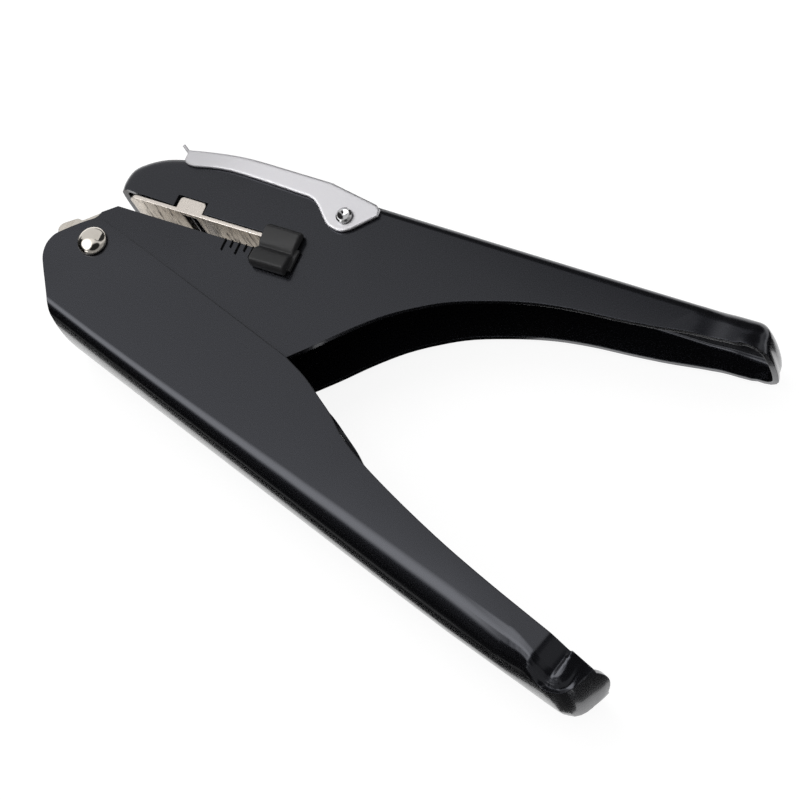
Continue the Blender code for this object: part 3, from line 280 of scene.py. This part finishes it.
# %% Lay the cards
card_height, corner_height, tip_height, pale_height = -0.03 * mm, -0.025 * mm, -0.02 * mm, 56 * mm
corner_level, tip_level, pale_level = 0.05, 0.06, 0.70
long_near, long_far = (handle_back + card_start) / mm, (handle_back + card_reach) / mm
long_left, long_right = -card_reach / mm, card_past_end / mm
long_corners = by_handle(
    (long_left, long_near), (long_left, long_far), (long_right, long_far), (long_right, long_near)
)
inner_corners = np.array([(35, -12), (215, -40), (215, 16), (35, 16)]) * mm
corner_corners = by_handle((172.5, 21.8), (172.5, 45), (195, 45), (195, 20))
tip_corners = by_handle((187, 0), (186.2, 21.2), (260, 21.2), (260, 0))
back_corners, end_corners = rectangle((-30, 34), (50, 100)), rectangle((182, 4), (270, 70))
pale_corners = rectangle((-75, 8), (6, 85))
black = black_card()
cards = (
    flat_board("black_card", long_corners, card_height, black),
    flat_board("inner_card", inner_corners, card_height, black),
    flat_board("back_card", back_corners, card_height, black),
    flat_board("end_card", end_corners, card_height, black),
    flat_board("corner_card", corner_corners, corner_height, plain_glow("corner_card", corner_level)),
    flat_board("tip_card", tip_corners, tip_height, plain_glow("tip_card", tip_level)),
    flat_board("white_card", pale_corners, pale_height, plain_glow("white_card", pale_level)),
)
for card in cards:
    card.visible_camera = False
    card.visible_diffuse = False
    card.visible_transmission = False
    card.visible_shadow = False
print("cards:", [card.name for card in cards])

# %% [markdown]
# What a glossy surface mirrors makes it look painted or plated, so the room is drawn for reflections as
# soft round patches, each laid over the ones before it. An environment picture would do the same, but
# patches need no file, and each has a name and a place. Diffuse light comes evenly from all round.

# %% Room
def make_patch():
    """A soft round patch in the room: smooth step of the dot product of a way and the patch's middle."""
    tree, start, end = group_with(
        "room_patch",
        [("Way", VECTOR), ("Middle", VECTOR), ("Inner", FLOAT), ("Outer", FLOAT)],
        [("Mask", FLOAT)],
    )
    near = add_node(tree, "ShaderNodeVectorMath", operation="DOT_PRODUCT")
    step = add_node(tree, "ShaderNodeMapRange", interpolation_type="SMOOTHSTEP")
    join(
        tree,
        start.outputs["Way"], near.inputs[0],
        start.outputs["Middle"], near.inputs[1],
        near.outputs["Value"], step.inputs["Value"],
        start.outputs["Outer"], step.inputs["From Min"],
        start.outputs["Inner"], step.inputs["From Max"],
        step.outputs["Result"], end.inputs["Mask"],
    )
    return tree


room_patch = make_patch()
room = bpy.data.worlds.new("white_room")
bpy.context.scene.world = room
room.use_nodes = True
room_tree = room.node_tree
room_tree.nodes.clear()
room_way = add_node(room_tree, "ShaderNodeTexCoord")


def patch(name, way, inner, outer):
    """Place a round patch: way to its middle, and the angles in degrees where it is full and gone."""
    node = add_node(room_tree, "ShaderNodeGroup", node_tree=room_patch)
    node.label = name
    node.inputs["Middle"].default_value = Vector(way).normalized()
    node.inputs["Inner"].default_value = math.cos(math.radians(inner))
    node.inputs["Outer"].default_value = math.cos(math.radians(outer))
    join(room_tree, room_way.outputs["Generated"], node.inputs["Way"])
    return node.outputs["Mask"]


def blend_level(mask, before, level):
    """Move a brightness towards a level by a mask. Before is a socket or a number."""
    node = add_node(room_tree, "ShaderNodeMix", data_type="FLOAT")
    node.inputs[3].default_value = level
    join(room_tree, mask, node.inputs[0])
    if isinstance(before, float):
        node.inputs[2].default_value = before
    else:
        join(room_tree, before, node.inputs[2])
    return node.outputs[0]


# Name, way to the middle, angles in degrees where the patch is full and gone, brightness
room_patches = (
    ("bright wall behind", (-0.35, 0.80, 0.60), 62.0, 84.0, 0.73),
    ("dark gap high in that wall", (0.05, 0.80, 0.60), 34.0, 43.6, 0.03),
    ("small light overhead", (-0.30, 0.10, 0.95), 5.0, 15.0, 0.95),
    ("dark place where the photographer stands", (0.25, -0.35, 0.90), 24.0, 32.0, 0.02),
    ("dark wall on the left", (-0.95, -0.05, 0.30), 14.0, 21.0, 0.02),
    ("large lamp high on the left", (-0.56, -0.24, 0.79), 7.0, 29.0, 3.1),
    ("dark horizon on the near left", (-0.75, -0.62, 0.08), 24.0, 44.0, 0.006),
    ("small lamp low in front", (-0.38, -0.84, 0.40), 5.0, 13.0, 1.4),
)
mirror_level = 0.30
for name, way, inner, outer, level in room_patches:
    mirror_level = blend_level(patch(name, way, inner, outer), mirror_level, level)
print("room patches:", len(room_patches))

ambient_level = 0.55
room_path = add_node(room_tree, "ShaderNodeLightPath")
room_dim = add_node(room_tree, "ShaderNodeMix", data_type="FLOAT")
room_dim.inputs[2].default_value = ambient_level
room_seen = add_node(room_tree, "ShaderNodeMix", data_type="FLOAT")
room_seen.inputs[3].default_value = 1.0
room_light = add_node(room_tree, "ShaderNodeBackground", color=(1, 1, 1, 1))
room_output = add_node(room_tree, "ShaderNodeOutputWorld")
join(
    room_tree,
    room_path.outputs["Is Glossy Ray"], room_dim.inputs[0],
    mirror_level, room_dim.inputs[3],
    room_path.outputs["Is Camera Ray"], room_seen.inputs[0],
    room_dim.outputs[0], room_seen.inputs[2],
    room_seen.outputs[0], room_light.inputs["Strength"],
    room_light.outputs[0], room_output.inputs["Surface"],
)

# %% [markdown]
# Lamps with a size give soft edges to light and shadow. Each one is described by the brightness of its
# face, and the power follows from that and its area. The room already holds their reflections, so the
# lamps themselves don't show in glossy surfaces. The Standard view shows colours as they are written.

# %% Lamps
look_at = Vector((0.075, -0.01, 0.016))


def soft_lamp(name, way, distance, width, height, brightness):
    """A rectangular lamp along a direction from the punch: power = brightness x pi x area."""
    lamp_data = bpy.data.lights.new(name, "AREA")
    lamp_data.shape = "RECTANGLE"
    lamp_data.size, lamp_data.size_y = width, height
    lamp_data.energy = brightness * math.pi * width * height
    lamp = place_object(name, lamp_data)
    way = Vector(way).normalized()
    lamp.location = look_at + way * distance
    lamp.rotation_mode = "QUATERNION"
    lamp.rotation_quaternion = way.to_track_quat("Z", "Y")
    lamp.visible_camera = False
    lamp.visible_glossy = False
    print(name, "power in W:", round(lamp_data.energy, 2))


soft_lamp("ceiling_lamp", (-0.35, 0.30, 0.9), distance=0.9, width=0.55, height=0.55, brightness=2.4)
soft_lamp("left_lamp", (-0.72, -0.30, 0.60), distance=0.9, width=0.4, height=0.3, brightness=1.2)

bpy.context.scene.view_settings.view_transform = "Standard"


# %% [markdown]
# Sprayed enamel, blasted sheet and moulded plastic all have a skin that isn't quite flat. One node group
# makes it for all three. Two sizes of noise drive a Bump node, and the finer noise also comes out as a
# mask that varies the gloss. A Bevel node rounds sharp edges in the shading alone, because the light that
# runs along a rolled edge is what makes sheet metal look real.

# %% Fine skin
broad_share = 0.18
peel_distance = 0.02 * mm


def make_peel():
    """Fine bump for sprayed or blasted skins: two sizes of noise added, then a Bump node."""
    tree, start, end = group_with(
        "fine_peel",
        [("Place", VECTOR), ("Edge", VECTOR), ("Cells per metre", FLOAT), ("Height", FLOAT)],
        [("Normal", VECTOR), ("Mask", FLOAT)],
    )
    fine = add_node(tree, "ShaderNodeTexNoise", detail=3.0, roughness=0.6)
    broad = add_node(tree, "ShaderNodeTexNoise", detail=1.0)
    slower = add_node(tree, "ShaderNodeMath", operation="MULTIPLY")
    slower.inputs[1].default_value = broad_share
    total = add_node(tree, "ShaderNodeMath", operation="ADD")
    bump = add_node(tree, "ShaderNodeBump")
    bump.inputs["Distance"].default_value = peel_distance
    join(
        tree,
        start.outputs["Place"], fine.inputs["Vector"],
        start.outputs["Place"], broad.inputs["Vector"],
        start.outputs["Cells per metre"], fine.inputs["Scale"],
        start.outputs["Cells per metre"], slower.inputs[0],
        slower.outputs[0], broad.inputs["Scale"],
        fine.outputs["Fac"], total.inputs[0],
        broad.outputs["Fac"], total.inputs[1],
        total.outputs[0], bump.inputs["Height"],
        start.outputs["Height"], bump.inputs["Strength"],
        start.outputs["Edge"], bump.inputs["Normal"],
        bump.outputs[0], end.inputs["Normal"],
        fine.outputs["Fac"], end.inputs["Mask"],
    )
    return tree


fine_peel = make_peel()
print("node group:", fine_peel.name)


def spread(tree, mask, socket, low, high):
    """Send a 0..1 mask to a socket as a range from low to high."""
    node = add_node(tree, "ShaderNodeMapRange")
    node.inputs["To Min"].default_value = low
    node.inputs["To Max"].default_value = high
    join(tree, mask, node.inputs["Value"], node.outputs["Result"], socket)


edge_radius = 0.34 * mm
fold_radius = 0.9 * mm


def place_group(tree, group, rounding=edge_radius, **values):
    """Add a node group that reads the piece's own coordinates, and the normal with its edges rounded."""
    place = add_node(tree, "ShaderNodeTexCoord")
    edge = add_node(tree, "ShaderNodeBevel", samples=6, radius=rounding)
    node = add_node(tree, "ShaderNodeGroup", node_tree=group)
    join(tree, place.outputs["Object"], node.inputs["Place"], edge.outputs[0], node.inputs["Edge"])
    for label, value in values.items():
        node.inputs[label.replace("_", " ")].default_value = value
    return node


# %% [markdown]
# The two channels carry the same satin black enamel. Its colour is almost black, so nearly all that shows
# is what it mirrors: a duller base with a faint blue sheen, half a coat of clear lacquer over it, and a
# very fine orange peel. A coat takes no notice of the Bevel node, and a full one would hide the light along
# the rolled edges.

# %% Black enamel
def make_enamel():
    """Near-black base under a thin clear coat."""
    made, tree, shader = new_material("black_enamel")
    skin = place_group(tree, fine_peel, Cells_per_metre=2600.0, Height=0.03)
    shader.inputs["Base Color"].default_value = (0.0036, 0.0036, 0.0044, 1)
    shader.inputs["Specular IOR Level"].default_value = 0.5
    shader.inputs["Coat Weight"].default_value = 0.5
    shader.inputs["Coat Roughness"].default_value = 0.10
    shader.inputs["Specular Tint"].default_value = (0.80, 0.84, 1.0, 1)
    spread(tree, skin.outputs["Mask"], shader.inputs["Roughness"], low=0.24, high=0.31)
    join(tree, skin.outputs["Normal"], shader.inputs["Normal"])
    return made


enamel = make_enamel()
print("finish:", enamel.name)


# %% [markdown]
# The inner channel, the rivets and the die plate are plated. Cards and chips rub on the die plate, so its
# underside is streaked with wear, and its tints are much darker than plated metal: painted shade for the
# shade under the jaws. Faces that look towards +Z, such as its folded tab, take a pale tint instead, painted
# light where they turn to the camera and the lamps. Streaks could be drawn one by one, but noise that is
# stretched and sharpened gives thousands of them. The same group with other values serves polished rivets
# and ground tool steel.

# %% Nickel, chrome and tool steel
scuff_distance, scuff_strength = 0.03 * mm, 0.4
blots_per_metre = 420.0
streak_low, streak_high = 0.50, 0.66
sideways_from, sideways_full = 0.25, 0.75


def make_scuffs():
    """Streaks: noise on places scaled by Stretch, most along the axis that they cross, sharpened to lines."""
    tree, start, end = group_with(
        "scuffs",
        [("Place", VECTOR), ("Edge", VECTOR), ("Stretch", VECTOR), ("Amount", FLOAT)],
        [("Mask", FLOAT), ("Normal", VECTOR)],
    )
    scale = add_node(tree, "ShaderNodeVectorMath", operation="MULTIPLY")
    lines = add_node(tree, "ShaderNodeTexNoise", scale=1.0, detail=4.0, roughness=0.7)
    blot = add_node(tree, "ShaderNodeTexNoise", scale=blots_per_metre, detail=4.0, roughness=0.65)
    sharp = add_node(tree, "ShaderNodeMapRange")
    sharp.inputs["From Min"].default_value = streak_low
    sharp.inputs["From Max"].default_value = streak_high
    both = add_node(tree, "ShaderNodeMath", operation="MULTIPLY")
    amount = add_node(tree, "ShaderNodeMath", operation="MULTIPLY", use_clamp=True)
    bump = add_node(tree, "ShaderNodeBump")
    bump.inputs["Distance"].default_value = scuff_distance
    bump.inputs["Strength"].default_value = scuff_strength
    join(
        tree,
        start.outputs["Place"], scale.inputs[0],
        start.outputs["Stretch"], scale.inputs[1],
        scale.outputs[0], lines.inputs["Vector"],
        start.outputs["Place"], blot.inputs["Vector"],
        lines.outputs["Fac"], sharp.inputs["Value"],
        sharp.outputs["Result"], both.inputs[0],
        blot.outputs["Fac"], both.inputs[1],
        both.outputs[0], amount.inputs[0],
        start.outputs["Amount"], amount.inputs[1],
        amount.outputs[0], end.inputs["Mask"],
        lines.outputs["Fac"], bump.inputs["Height"],
        start.outputs["Edge"], bump.inputs["Normal"],
        bump.outputs[0], end.inputs["Normal"],
    )
    return tree


scuffs = make_scuffs()


def make_metal(name, light, dark, amount, roughness, stretch, painted_lit_tint=None):
    """Two tints mixed by the streaks. A third, pale tint, if any, is painted light where a face looks
    sideways, +Z.
    """
    made, tree, shader = new_material(name)
    skin = place_group(tree, scuffs, Amount=amount, Stretch=stretch)
    tint = add_node(tree, "ShaderNodeMix", data_type="RGBA")
    tint.inputs[6].default_value = (*light, 1)
    tint.inputs[7].default_value = (*dark, 1)
    shader.inputs["Metallic"].default_value = 1.0
    join(tree, skin.outputs["Mask"], tint.inputs[0])
    colour = tint.outputs[2]
    if painted_lit_tint:
        split = add_node(tree, "ShaderNodeSeparateXYZ")
        facing = add_node(tree, "ShaderNodeMapRange", interpolation_type="SMOOTHSTEP")
        facing.inputs["From Min"].default_value = sideways_from
        facing.inputs["From Max"].default_value = sideways_full
        over = add_node(tree, "ShaderNodeMix", data_type="RGBA")
        over.inputs[7].default_value = (*painted_lit_tint, 1)
        join(
            tree,
            skin.outputs["Normal"], split.inputs[0],
            split.outputs["Z"], facing.inputs["Value"],
            facing.outputs["Result"], over.inputs[0],
            colour, over.inputs[6],
        )
        colour = over.outputs[2]
    join(tree, colour, shader.inputs["Base Color"])
    spread(tree, skin.outputs["Mask"], shader.inputs["Roughness"], *roughness)
    join(tree, skin.outputs["Normal"], shader.inputs["Normal"])
    return made


nickel = make_metal(
    "bright_nickel", light=(0.78, 0.73, 0.66), dark=(0.42, 0.37, 0.31),
    amount=0.7, roughness=(0.16, 0.42), stretch=(700.0, 60.0, 60.0),
)
rivet_nickel = make_metal(
    "polished_nickel", light=(0.80, 0.75, 0.68), dark=(0.55, 0.50, 0.44),
    amount=0.25, roughness=(0.05, 0.16), stretch=(300.0, 300.0, 300.0),
)
chrome = make_metal(
    "bright_chrome", light=(0.62, 0.62, 0.63), dark=(0.40, 0.40, 0.41),
    amount=0.2, roughness=(0.05, 0.12), stretch=(300.0, 300.0, 300.0),
)
# Die plate: streaks of wear, dark tints that are partly painted shade, and painted light on +Z faces.
plate_nickel = make_metal(
    "worn_and_shaded_plate", light=(0.50, 0.46, 0.41), dark=(0.12, 0.10, 0.085),
    amount=1.7, roughness=(0.24, 0.5), stretch=(1100.0, 90.0, 120.0), painted_lit_tint=(0.92, 0.85, 0.78),
)
# Tool steel: tints darker than bare steel, partly painted shade where the slot shows the insert's underside.
tool_steel = make_metal(
    "hardened_steel_painted_shade", light=(0.40, 0.40, 0.42), dark=(0.18, 0.17, 0.16),
    amount=0.8, roughness=(0.25, 0.5), stretch=(400.0, 400.0, 400.0),
)
print("plated finishes:", [metal.name for metal in (nickel, rivet_nickel, chrome, plate_nickel, tool_steel)])


# %% [markdown]
# The cover is blasted sheet with a satin silver plate: a metal with a broad sheen and a fine, even grain.
# Its long edges are folded over a wide radius, so its Bevel node rounds more than those of other finishes.

# %% Satin silver
def make_silver():
    """Two pale tints of one metal, mixed by the fine skin's mask."""
    made, tree, shader = new_material("satin_silver")
    skin = place_group(tree, fine_peel, rounding=fold_radius, Cells_per_metre=5200.0, Height=0.25)
    shader.inputs["Metallic"].default_value = 1.0
    tint = add_node(tree, "ShaderNodeMix", data_type="RGBA")
    tint.inputs[6].default_value = (0.88, 0.87, 0.90, 1)
    tint.inputs[7].default_value = (0.98, 0.97, 1.0, 1)
    join(tree, skin.outputs["Mask"], tint.inputs[0], tint.outputs[2], shader.inputs["Base Color"])
    spread(tree, skin.outputs["Mask"], shader.inputs["Roughness"], low=0.38, high=0.52)
    join(tree, skin.outputs["Normal"], shader.inputs["Normal"])
    return made


silver = make_silver()
print("finish:", silver.name)


# %% [markdown]
# The card stop is moulded in black plastic. It is a little paler than the enamel, has no coat, and takes a
# coarser skin and a duller gloss from its mould.

# %% Black plastic
def make_plastic():
    """Dark grey with a dull, uneven gloss."""
    made, tree, shader = new_material("moulded_plastic")
    skin = place_group(tree, fine_peel, Cells_per_metre=4200.0, Height=0.5)
    shader.inputs["Base Color"].default_value = (0.019, 0.019, 0.0200, 1)
    spread(tree, skin.outputs["Mask"], shader.inputs["Roughness"], low=0.42, high=0.6)
    join(tree, skin.outputs["Normal"], shader.inputs["Normal"])
    return made


plastic = make_plastic()
print("finish:", plastic.name)

# %% [markdown]
# The solids already have their right shapes, so each keeps its mesh and only the material in its slots
# changes. A table of finishes and the solids that wear them is easier to check than one line for each.

# %% Put each finish on its solids
finishes = {
    enamel: ["frame_shell", "lower_handle"],
    silver: ["chip_cover"],
    rivet_nickel: ["pivot_rivet"],
    chrome: ["cover_rivet_near", "cover_rivet_far"],
    nickel: ["guide_channel", "stop_pin", "pivot_bush", "drive_pin", "foot_pin", "return_spring"],
    plate_nickel: ["die_plate"],
    tool_steel: ["die_insert", "slot_punch", "punch_foot", "punch_guide", "drive_bracket"],
    plastic: ["stop_block_near", "stop_block_far", "stop_bar"],
}
for finish, names in finishes.items():
    for name in names:
        slots = nodes[name].material_slots
        for slot in slots:
            slot.link = "DATA"
            slot.material = finish
dressed = {name for names in finishes.values() for name in names}
print("finishes:", len(finishes), "bare solids:", sorted(set(nodes) - dressed))

# %% [markdown]
# The end of the lower handle is drawn in by the press: its sides step inwards before the end wall, and a
# small flat slants from the lip to the corner. The solid has a shallow dent there. Its own mesh is left
# alone, and a copy stands for it. Here is the form, as two heights over the handle's flat side: the one
# that the solid has, and the one that is wanted. Reach is the distance along the handle, and drop is the
# distance from the lip, the handle's open edge.

# %% Form of the handle's drawn-in end
handle_reach = 179.4 * mm
flare_run, flare_drop, flare_out = 14.2 * mm, 8.0 * mm, 1.6 * mm
dent_back, dent_run, dent_depth = 18.3 * mm, 9.5 * mm, 1.2 * mm
step_start, step_run, step_depth = 167.8 * mm, 6.6 * mm, 3.5 * mm
slant_start, slant_run, slant_rise, slant_drop = 173.7 * mm, 1.2 * mm, 2.5 * mm, 7.6 * mm


def ease(t):
    """Smooth step of an array: 3t^2 - 2t^3 between 0 and 1."""
    t = np.clip(t, 0.0, 1.0)
    return t * t * (3 - 2 * t)


def dent_of_solid(reach, drop):
    """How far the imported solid's side stands out: a flare by the lip less a dent, sin^2 along the handle."""
    flare = ease((reach - handle_reach + flare_run) / flare_run) * ease(1 - drop / flare_drop)
    dent = np.sin(np.pi * np.clip((reach - handle_reach + dent_back) / dent_run, 0.0, 1.0)) ** 2
    return flare_out * flare - dent_depth * dent


def drawn_in(reach, drop):
    """How far the real side stands out: a smooth step inwards, plus a flat that slants from the lip."""
    step = step_depth * ease((reach - step_start) / step_run)
    slant = ease((reach - slant_start) / slant_run) * np.clip(1 - drop / slant_drop, 0.0, 1.0)
    return slant_rise * slant - step


middle_drop = 4 * mm
print("side at the end wall in mm:", round(float(drawn_in(handle_reach, middle_drop)) / mm, 2))

# %% [markdown]
# The form is pressed into the mesh by moving its points along Z. All of the form goes into the flat sides,
# and less and less of it into the bends, so the back stays where it is. The bends are 7.2 mm deep along
# most of the handle and 4.8 mm at its end. A few listed points of the solid's own lip say where
# the lip lies across the handle.

# %% Pressing a form into the handle
mid_height, side_height, handle_sheet = 14.5 * mm, 12.7 * mm, 1.6 * mm
bend_before, bend_at_end = 7.2 * mm, 4.8 * mm
bend_change_start, bend_change_run = 159.4 * mm, 14.4 * mm
press_start = 157 * mm
lip_reach = np.array([140.0, 160.4, 170.2, 176.0, 178.5]) * mm
lip_across = np.array([-8.00, -8.77, -9.03, -9.07, -8.77]) * mm


def read_points(mesh):
    """The places of a mesh's points, as rows of X, Y and Z."""
    points = np.empty(3 * len(mesh.vertices))
    mesh.vertices.foreach_get("co", points)
    return points.reshape(-1, 3)


def reach_of(points):
    """Distance along the handle from the rivet."""
    return points[:, :2] @ along


def press(mesh, form):
    """Move points along Z by share x form(reach, drop): share is 1 on the sides, 0 before press_start."""
    points = read_points(mesh)
    reach = reach_of(points)
    drop = np.abs(-points[:, :2] @ outward - np.interp(reach, lip_reach, lip_across))
    height = points[:, 2] - mid_height
    bend = bend_before + (bend_at_end - bend_before) * ease((reach - bend_change_start) / bend_change_run)
    share = np.clip((np.abs(height) - side_height + bend) / (bend - handle_sheet), 0.0, 1.0)
    share[reach < press_start] = 0.0
    points[:, 2] += np.sign(height) * share * form(reach, drop)
    mesh.vertices.foreach_set("co", points.ravel())


print("form starts at a reach in mm of:", round(press_start / mm))

# %% [markdown]
# A CAD mesh is loose triangles, so the copy's corners are merged first. Then the solid's own dent is taken
# out, the end is cut into finer faces, since a form can only bend where there are points, and the wanted
# form goes in. Bmesh does the merging and cutting, and numpy the pressing.

# %% Drawn-in end of the lower handle
same_place = 0.0005 * mm
cut_rounds = 2


def edit(mesh, *steps):
    """Open a mesh in bmesh, run each step on it, and write it back."""
    work = bmesh.new()
    work.from_mesh(mesh)
    for step in steps:
        step(work)
    work.to_mesh(mesh)
    work.free()


def merge_corners(work):
    """Join points that lie in one place."""
    bmesh.ops.remove_doubles(work, verts=work.verts, dist=same_place)


def cut_to_triangles(work):
    """Cut every face into triangles."""
    bmesh.ops.triangulate(work, faces=work.faces)


def cut_end(mesh):
    """Halve every edge whose two points both lie where the form is pressed in."""
    ends = np.empty(2 * len(mesh.edges), dtype=int)
    mesh.edges.foreach_get("vertices", ends)
    pressed = (reach_of(read_points(mesh)) > press_start)[ends].reshape(-1, 2).all(axis=1)

    def halve(work):
        work.edges.ensure_lookup_table()
        edges = [work.edges[number] for number in np.flatnonzero(pressed)]
        bmesh.ops.subdivide_edges(work, edges=edges, cuts=1, use_grid_fill=True)

    edit(mesh, halve)


def make_drawn_end():
    """Copy the solid's mesh, take its dent out, cut its end finer, and press the real form into it."""
    mesh = nodes["lower_handle"].data.copy()
    mesh.name = "drawn_handle"
    edit(mesh, merge_corners)
    press(mesh, lambda reach, drop: -dent_of_solid(reach, drop))
    for _ in range(cut_rounds):
        cut_end(mesh)
    edit(mesh, cut_to_triangles)
    press(mesh, drawn_in)
    mesh.materials.clear()
    mesh.materials.append(enamel)
    return place_object("drawn_handle", mesh)


drawn_handle = make_drawn_end()
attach(drawn_handle, "handle")
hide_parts("lower_handle")
print("drawn end:", len(drawn_handle.data.polygons), "faces")

# %% [markdown]
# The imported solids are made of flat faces, so a rolled corner would show as a row of strips. Real sheet
# bends smoothly. A small tree of geometry nodes joins the faces' corners, shades every face smooth, and
# keeps an edge sharp where two faces meet at a steep angle. A Weighted Normal modifier then lets the big
# flat faces keep their own direction. Neither changes a shape.

# %% Smooth corners
steepest_smooth = math.radians(38)


def make_smooth_corners():
    """Merge corners, shade faces smooth, then mark edges sharp where the angle between faces is steep."""
    tree = bpy.data.node_groups.new("smooth_corners", "GeometryNodeTree")
    tree.interface.new_socket("Geometry", in_out="INPUT", socket_type="NodeSocketGeometry")
    tree.interface.new_socket("Geometry", in_out="OUTPUT", socket_type="NodeSocketGeometry")
    start, end = tree.nodes.new("NodeGroupInput"), tree.nodes.new("NodeGroupOutput")
    merge = add_node(tree, "GeometryNodeMergeByDistance", distance=same_place)
    faces = add_node(tree, "GeometryNodeSetShadeSmooth", domain="FACE", shade_smooth=True)
    edges = add_node(tree, "GeometryNodeSetShadeSmooth", domain="EDGE", shade_smooth=False)
    angle = add_node(tree, "GeometryNodeInputMeshEdgeAngle")
    steep = add_node(tree, "FunctionNodeCompare", data_type="FLOAT", operation="GREATER_THAN")
    steep.inputs[1].default_value = steepest_smooth
    join(
        tree,
        start.outputs[0], merge.inputs["Geometry"],
        merge.outputs[0], faces.inputs[0],
        faces.outputs[0], edges.inputs[0],
        angle.outputs[0], steep.inputs[0],
        steep.outputs[0], edges.inputs["Selection"],
        edges.outputs[0], end.inputs[0],
    )
    return tree


smooth_corners = make_smooth_corners()
for solid in (*nodes.values(), drawn_handle):
    shading = solid.modifiers.new("smooth_corners", "NODES")
    shading.node_group = smooth_corners
    weighting = solid.modifiers.new("flat_faces_first", "WEIGHTED_NORMAL")
    weighting.mode = "FACE_AREA"
    weighting.keep_sharp = True
print("smooth corners on", len(nodes), "solids and the drawn end")

# %% [markdown]
# A short scale is marked on the lower jaw, one line every 2 mm, long and short in turn, so the card stop
# can be set to the same depth again. Stamped lines this shallow show only as dark, dull bars, so each is a
# thin bar with round ends that stands a hundredth of a millimetre off the paint. Its surface is a grid of
# rings that shrink to one point, and the grid's open rim is closed underneath, inside the jaw's sheet.

# %% Scale marks
mark_first, mark_step, mark_count = 33.7 * mm, 2.04 * mm, 7
mark_top, mark_long, mark_short = 12.3 * mm, 3.5 * mm, 2.2 * mm
mark_width, mark_proud, mark_sunk = 0.42 * mm, 0.012 * mm, 0.02 * mm
jaw_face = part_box("frame_shell")[1][2]


def bar_surface(length, width, rows=5, turns=40):
    """Bar with round ends: rings shrink from the outline to its middle line, and rise as 1 - ring^6."""
    ring = np.linspace(0.0, 1.0, rows)[:, None]
    angle = np.linspace(0.0, 2 * np.pi, turns, endpoint=False)[None, :]
    straight = (length - width) / 2
    x = ring * width / 2 * np.cos(angle)
    y = ring * width / 2 * np.sin(angle) + straight * np.sign(np.sin(angle)) * (ring > 0)
    z = -mark_sunk + (mark_sunk + mark_proud) * (1 - ring**6)
    return np.stack(np.broadcast_arrays(x, y, z), -1)


def ring_faces(rows, turns):
    """Quads between neighbouring rings of a grid that closes round its second parameter."""
    row, turn = np.meshgrid(np.arange(rows - 1), np.arange(turns), indexing="ij")
    after = (turn + 1) % turns
    corners = [row * turns + turn, (row + 1) * turns + turn, (row + 1) * turns + after, row * turns + after]
    return np.stack(corners, -1).reshape(-1, 4)


def close_rims(work):
    """Fill each open rim with one face, and turn all faces outwards."""
    bmesh.ops.holes_fill(work, edges=[edge for edge in work.edges if edge.is_boundary])
    bmesh.ops.recalc_face_normals(work, faces=work.faces)


def make_marks():
    """All the bars in one mesh, each a copy of the surface moved to its place."""
    points, faces, count = [], [], 0
    for number in range(mark_count):
        length = mark_long if number % 2 == 0 else mark_short
        middle = np.array([mark_first + number * mark_step, mark_top - length / 2, jaw_face])
        grid = bar_surface(length, mark_width) + middle
        faces.append(ring_faces(*grid.shape[:2]) + count)
        points.append(grid.reshape(-1, 3))
        count += grid.shape[0] * grid.shape[1]
    mesh = bpy.data.meshes.new("scale_marks")
    mesh.from_pydata(np.vstack(points).tolist(), [], np.vstack(faces).tolist())
    edit(mesh, merge_corners, close_rims)
    mesh.shade_smooth()
    return place_object("scale_marks", mesh)


def make_mark_ink():
    """Dull black with almost no gloss."""
    made, tree, shader = new_material("dull_mark")
    skin = place_group(tree, fine_peel, Cells_per_metre=5000.0, Height=0.3)
    shader.inputs["Base Color"].default_value = (0.0015, 0.0015, 0.0017, 1)
    shader.inputs["Specular IOR Level"].default_value = 0.12
    spread(tree, skin.outputs["Mask"], shader.inputs["Roughness"], low=0.55, high=0.75)
    join(tree, skin.outputs["Normal"], shader.inputs["Normal"])
    return made


marks = make_marks()
marks.data.materials.append(make_mark_ink())
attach(marks, "frame")
print("scale marks:", mark_count, "from X in mm:", round(mark_first / mm, 1))
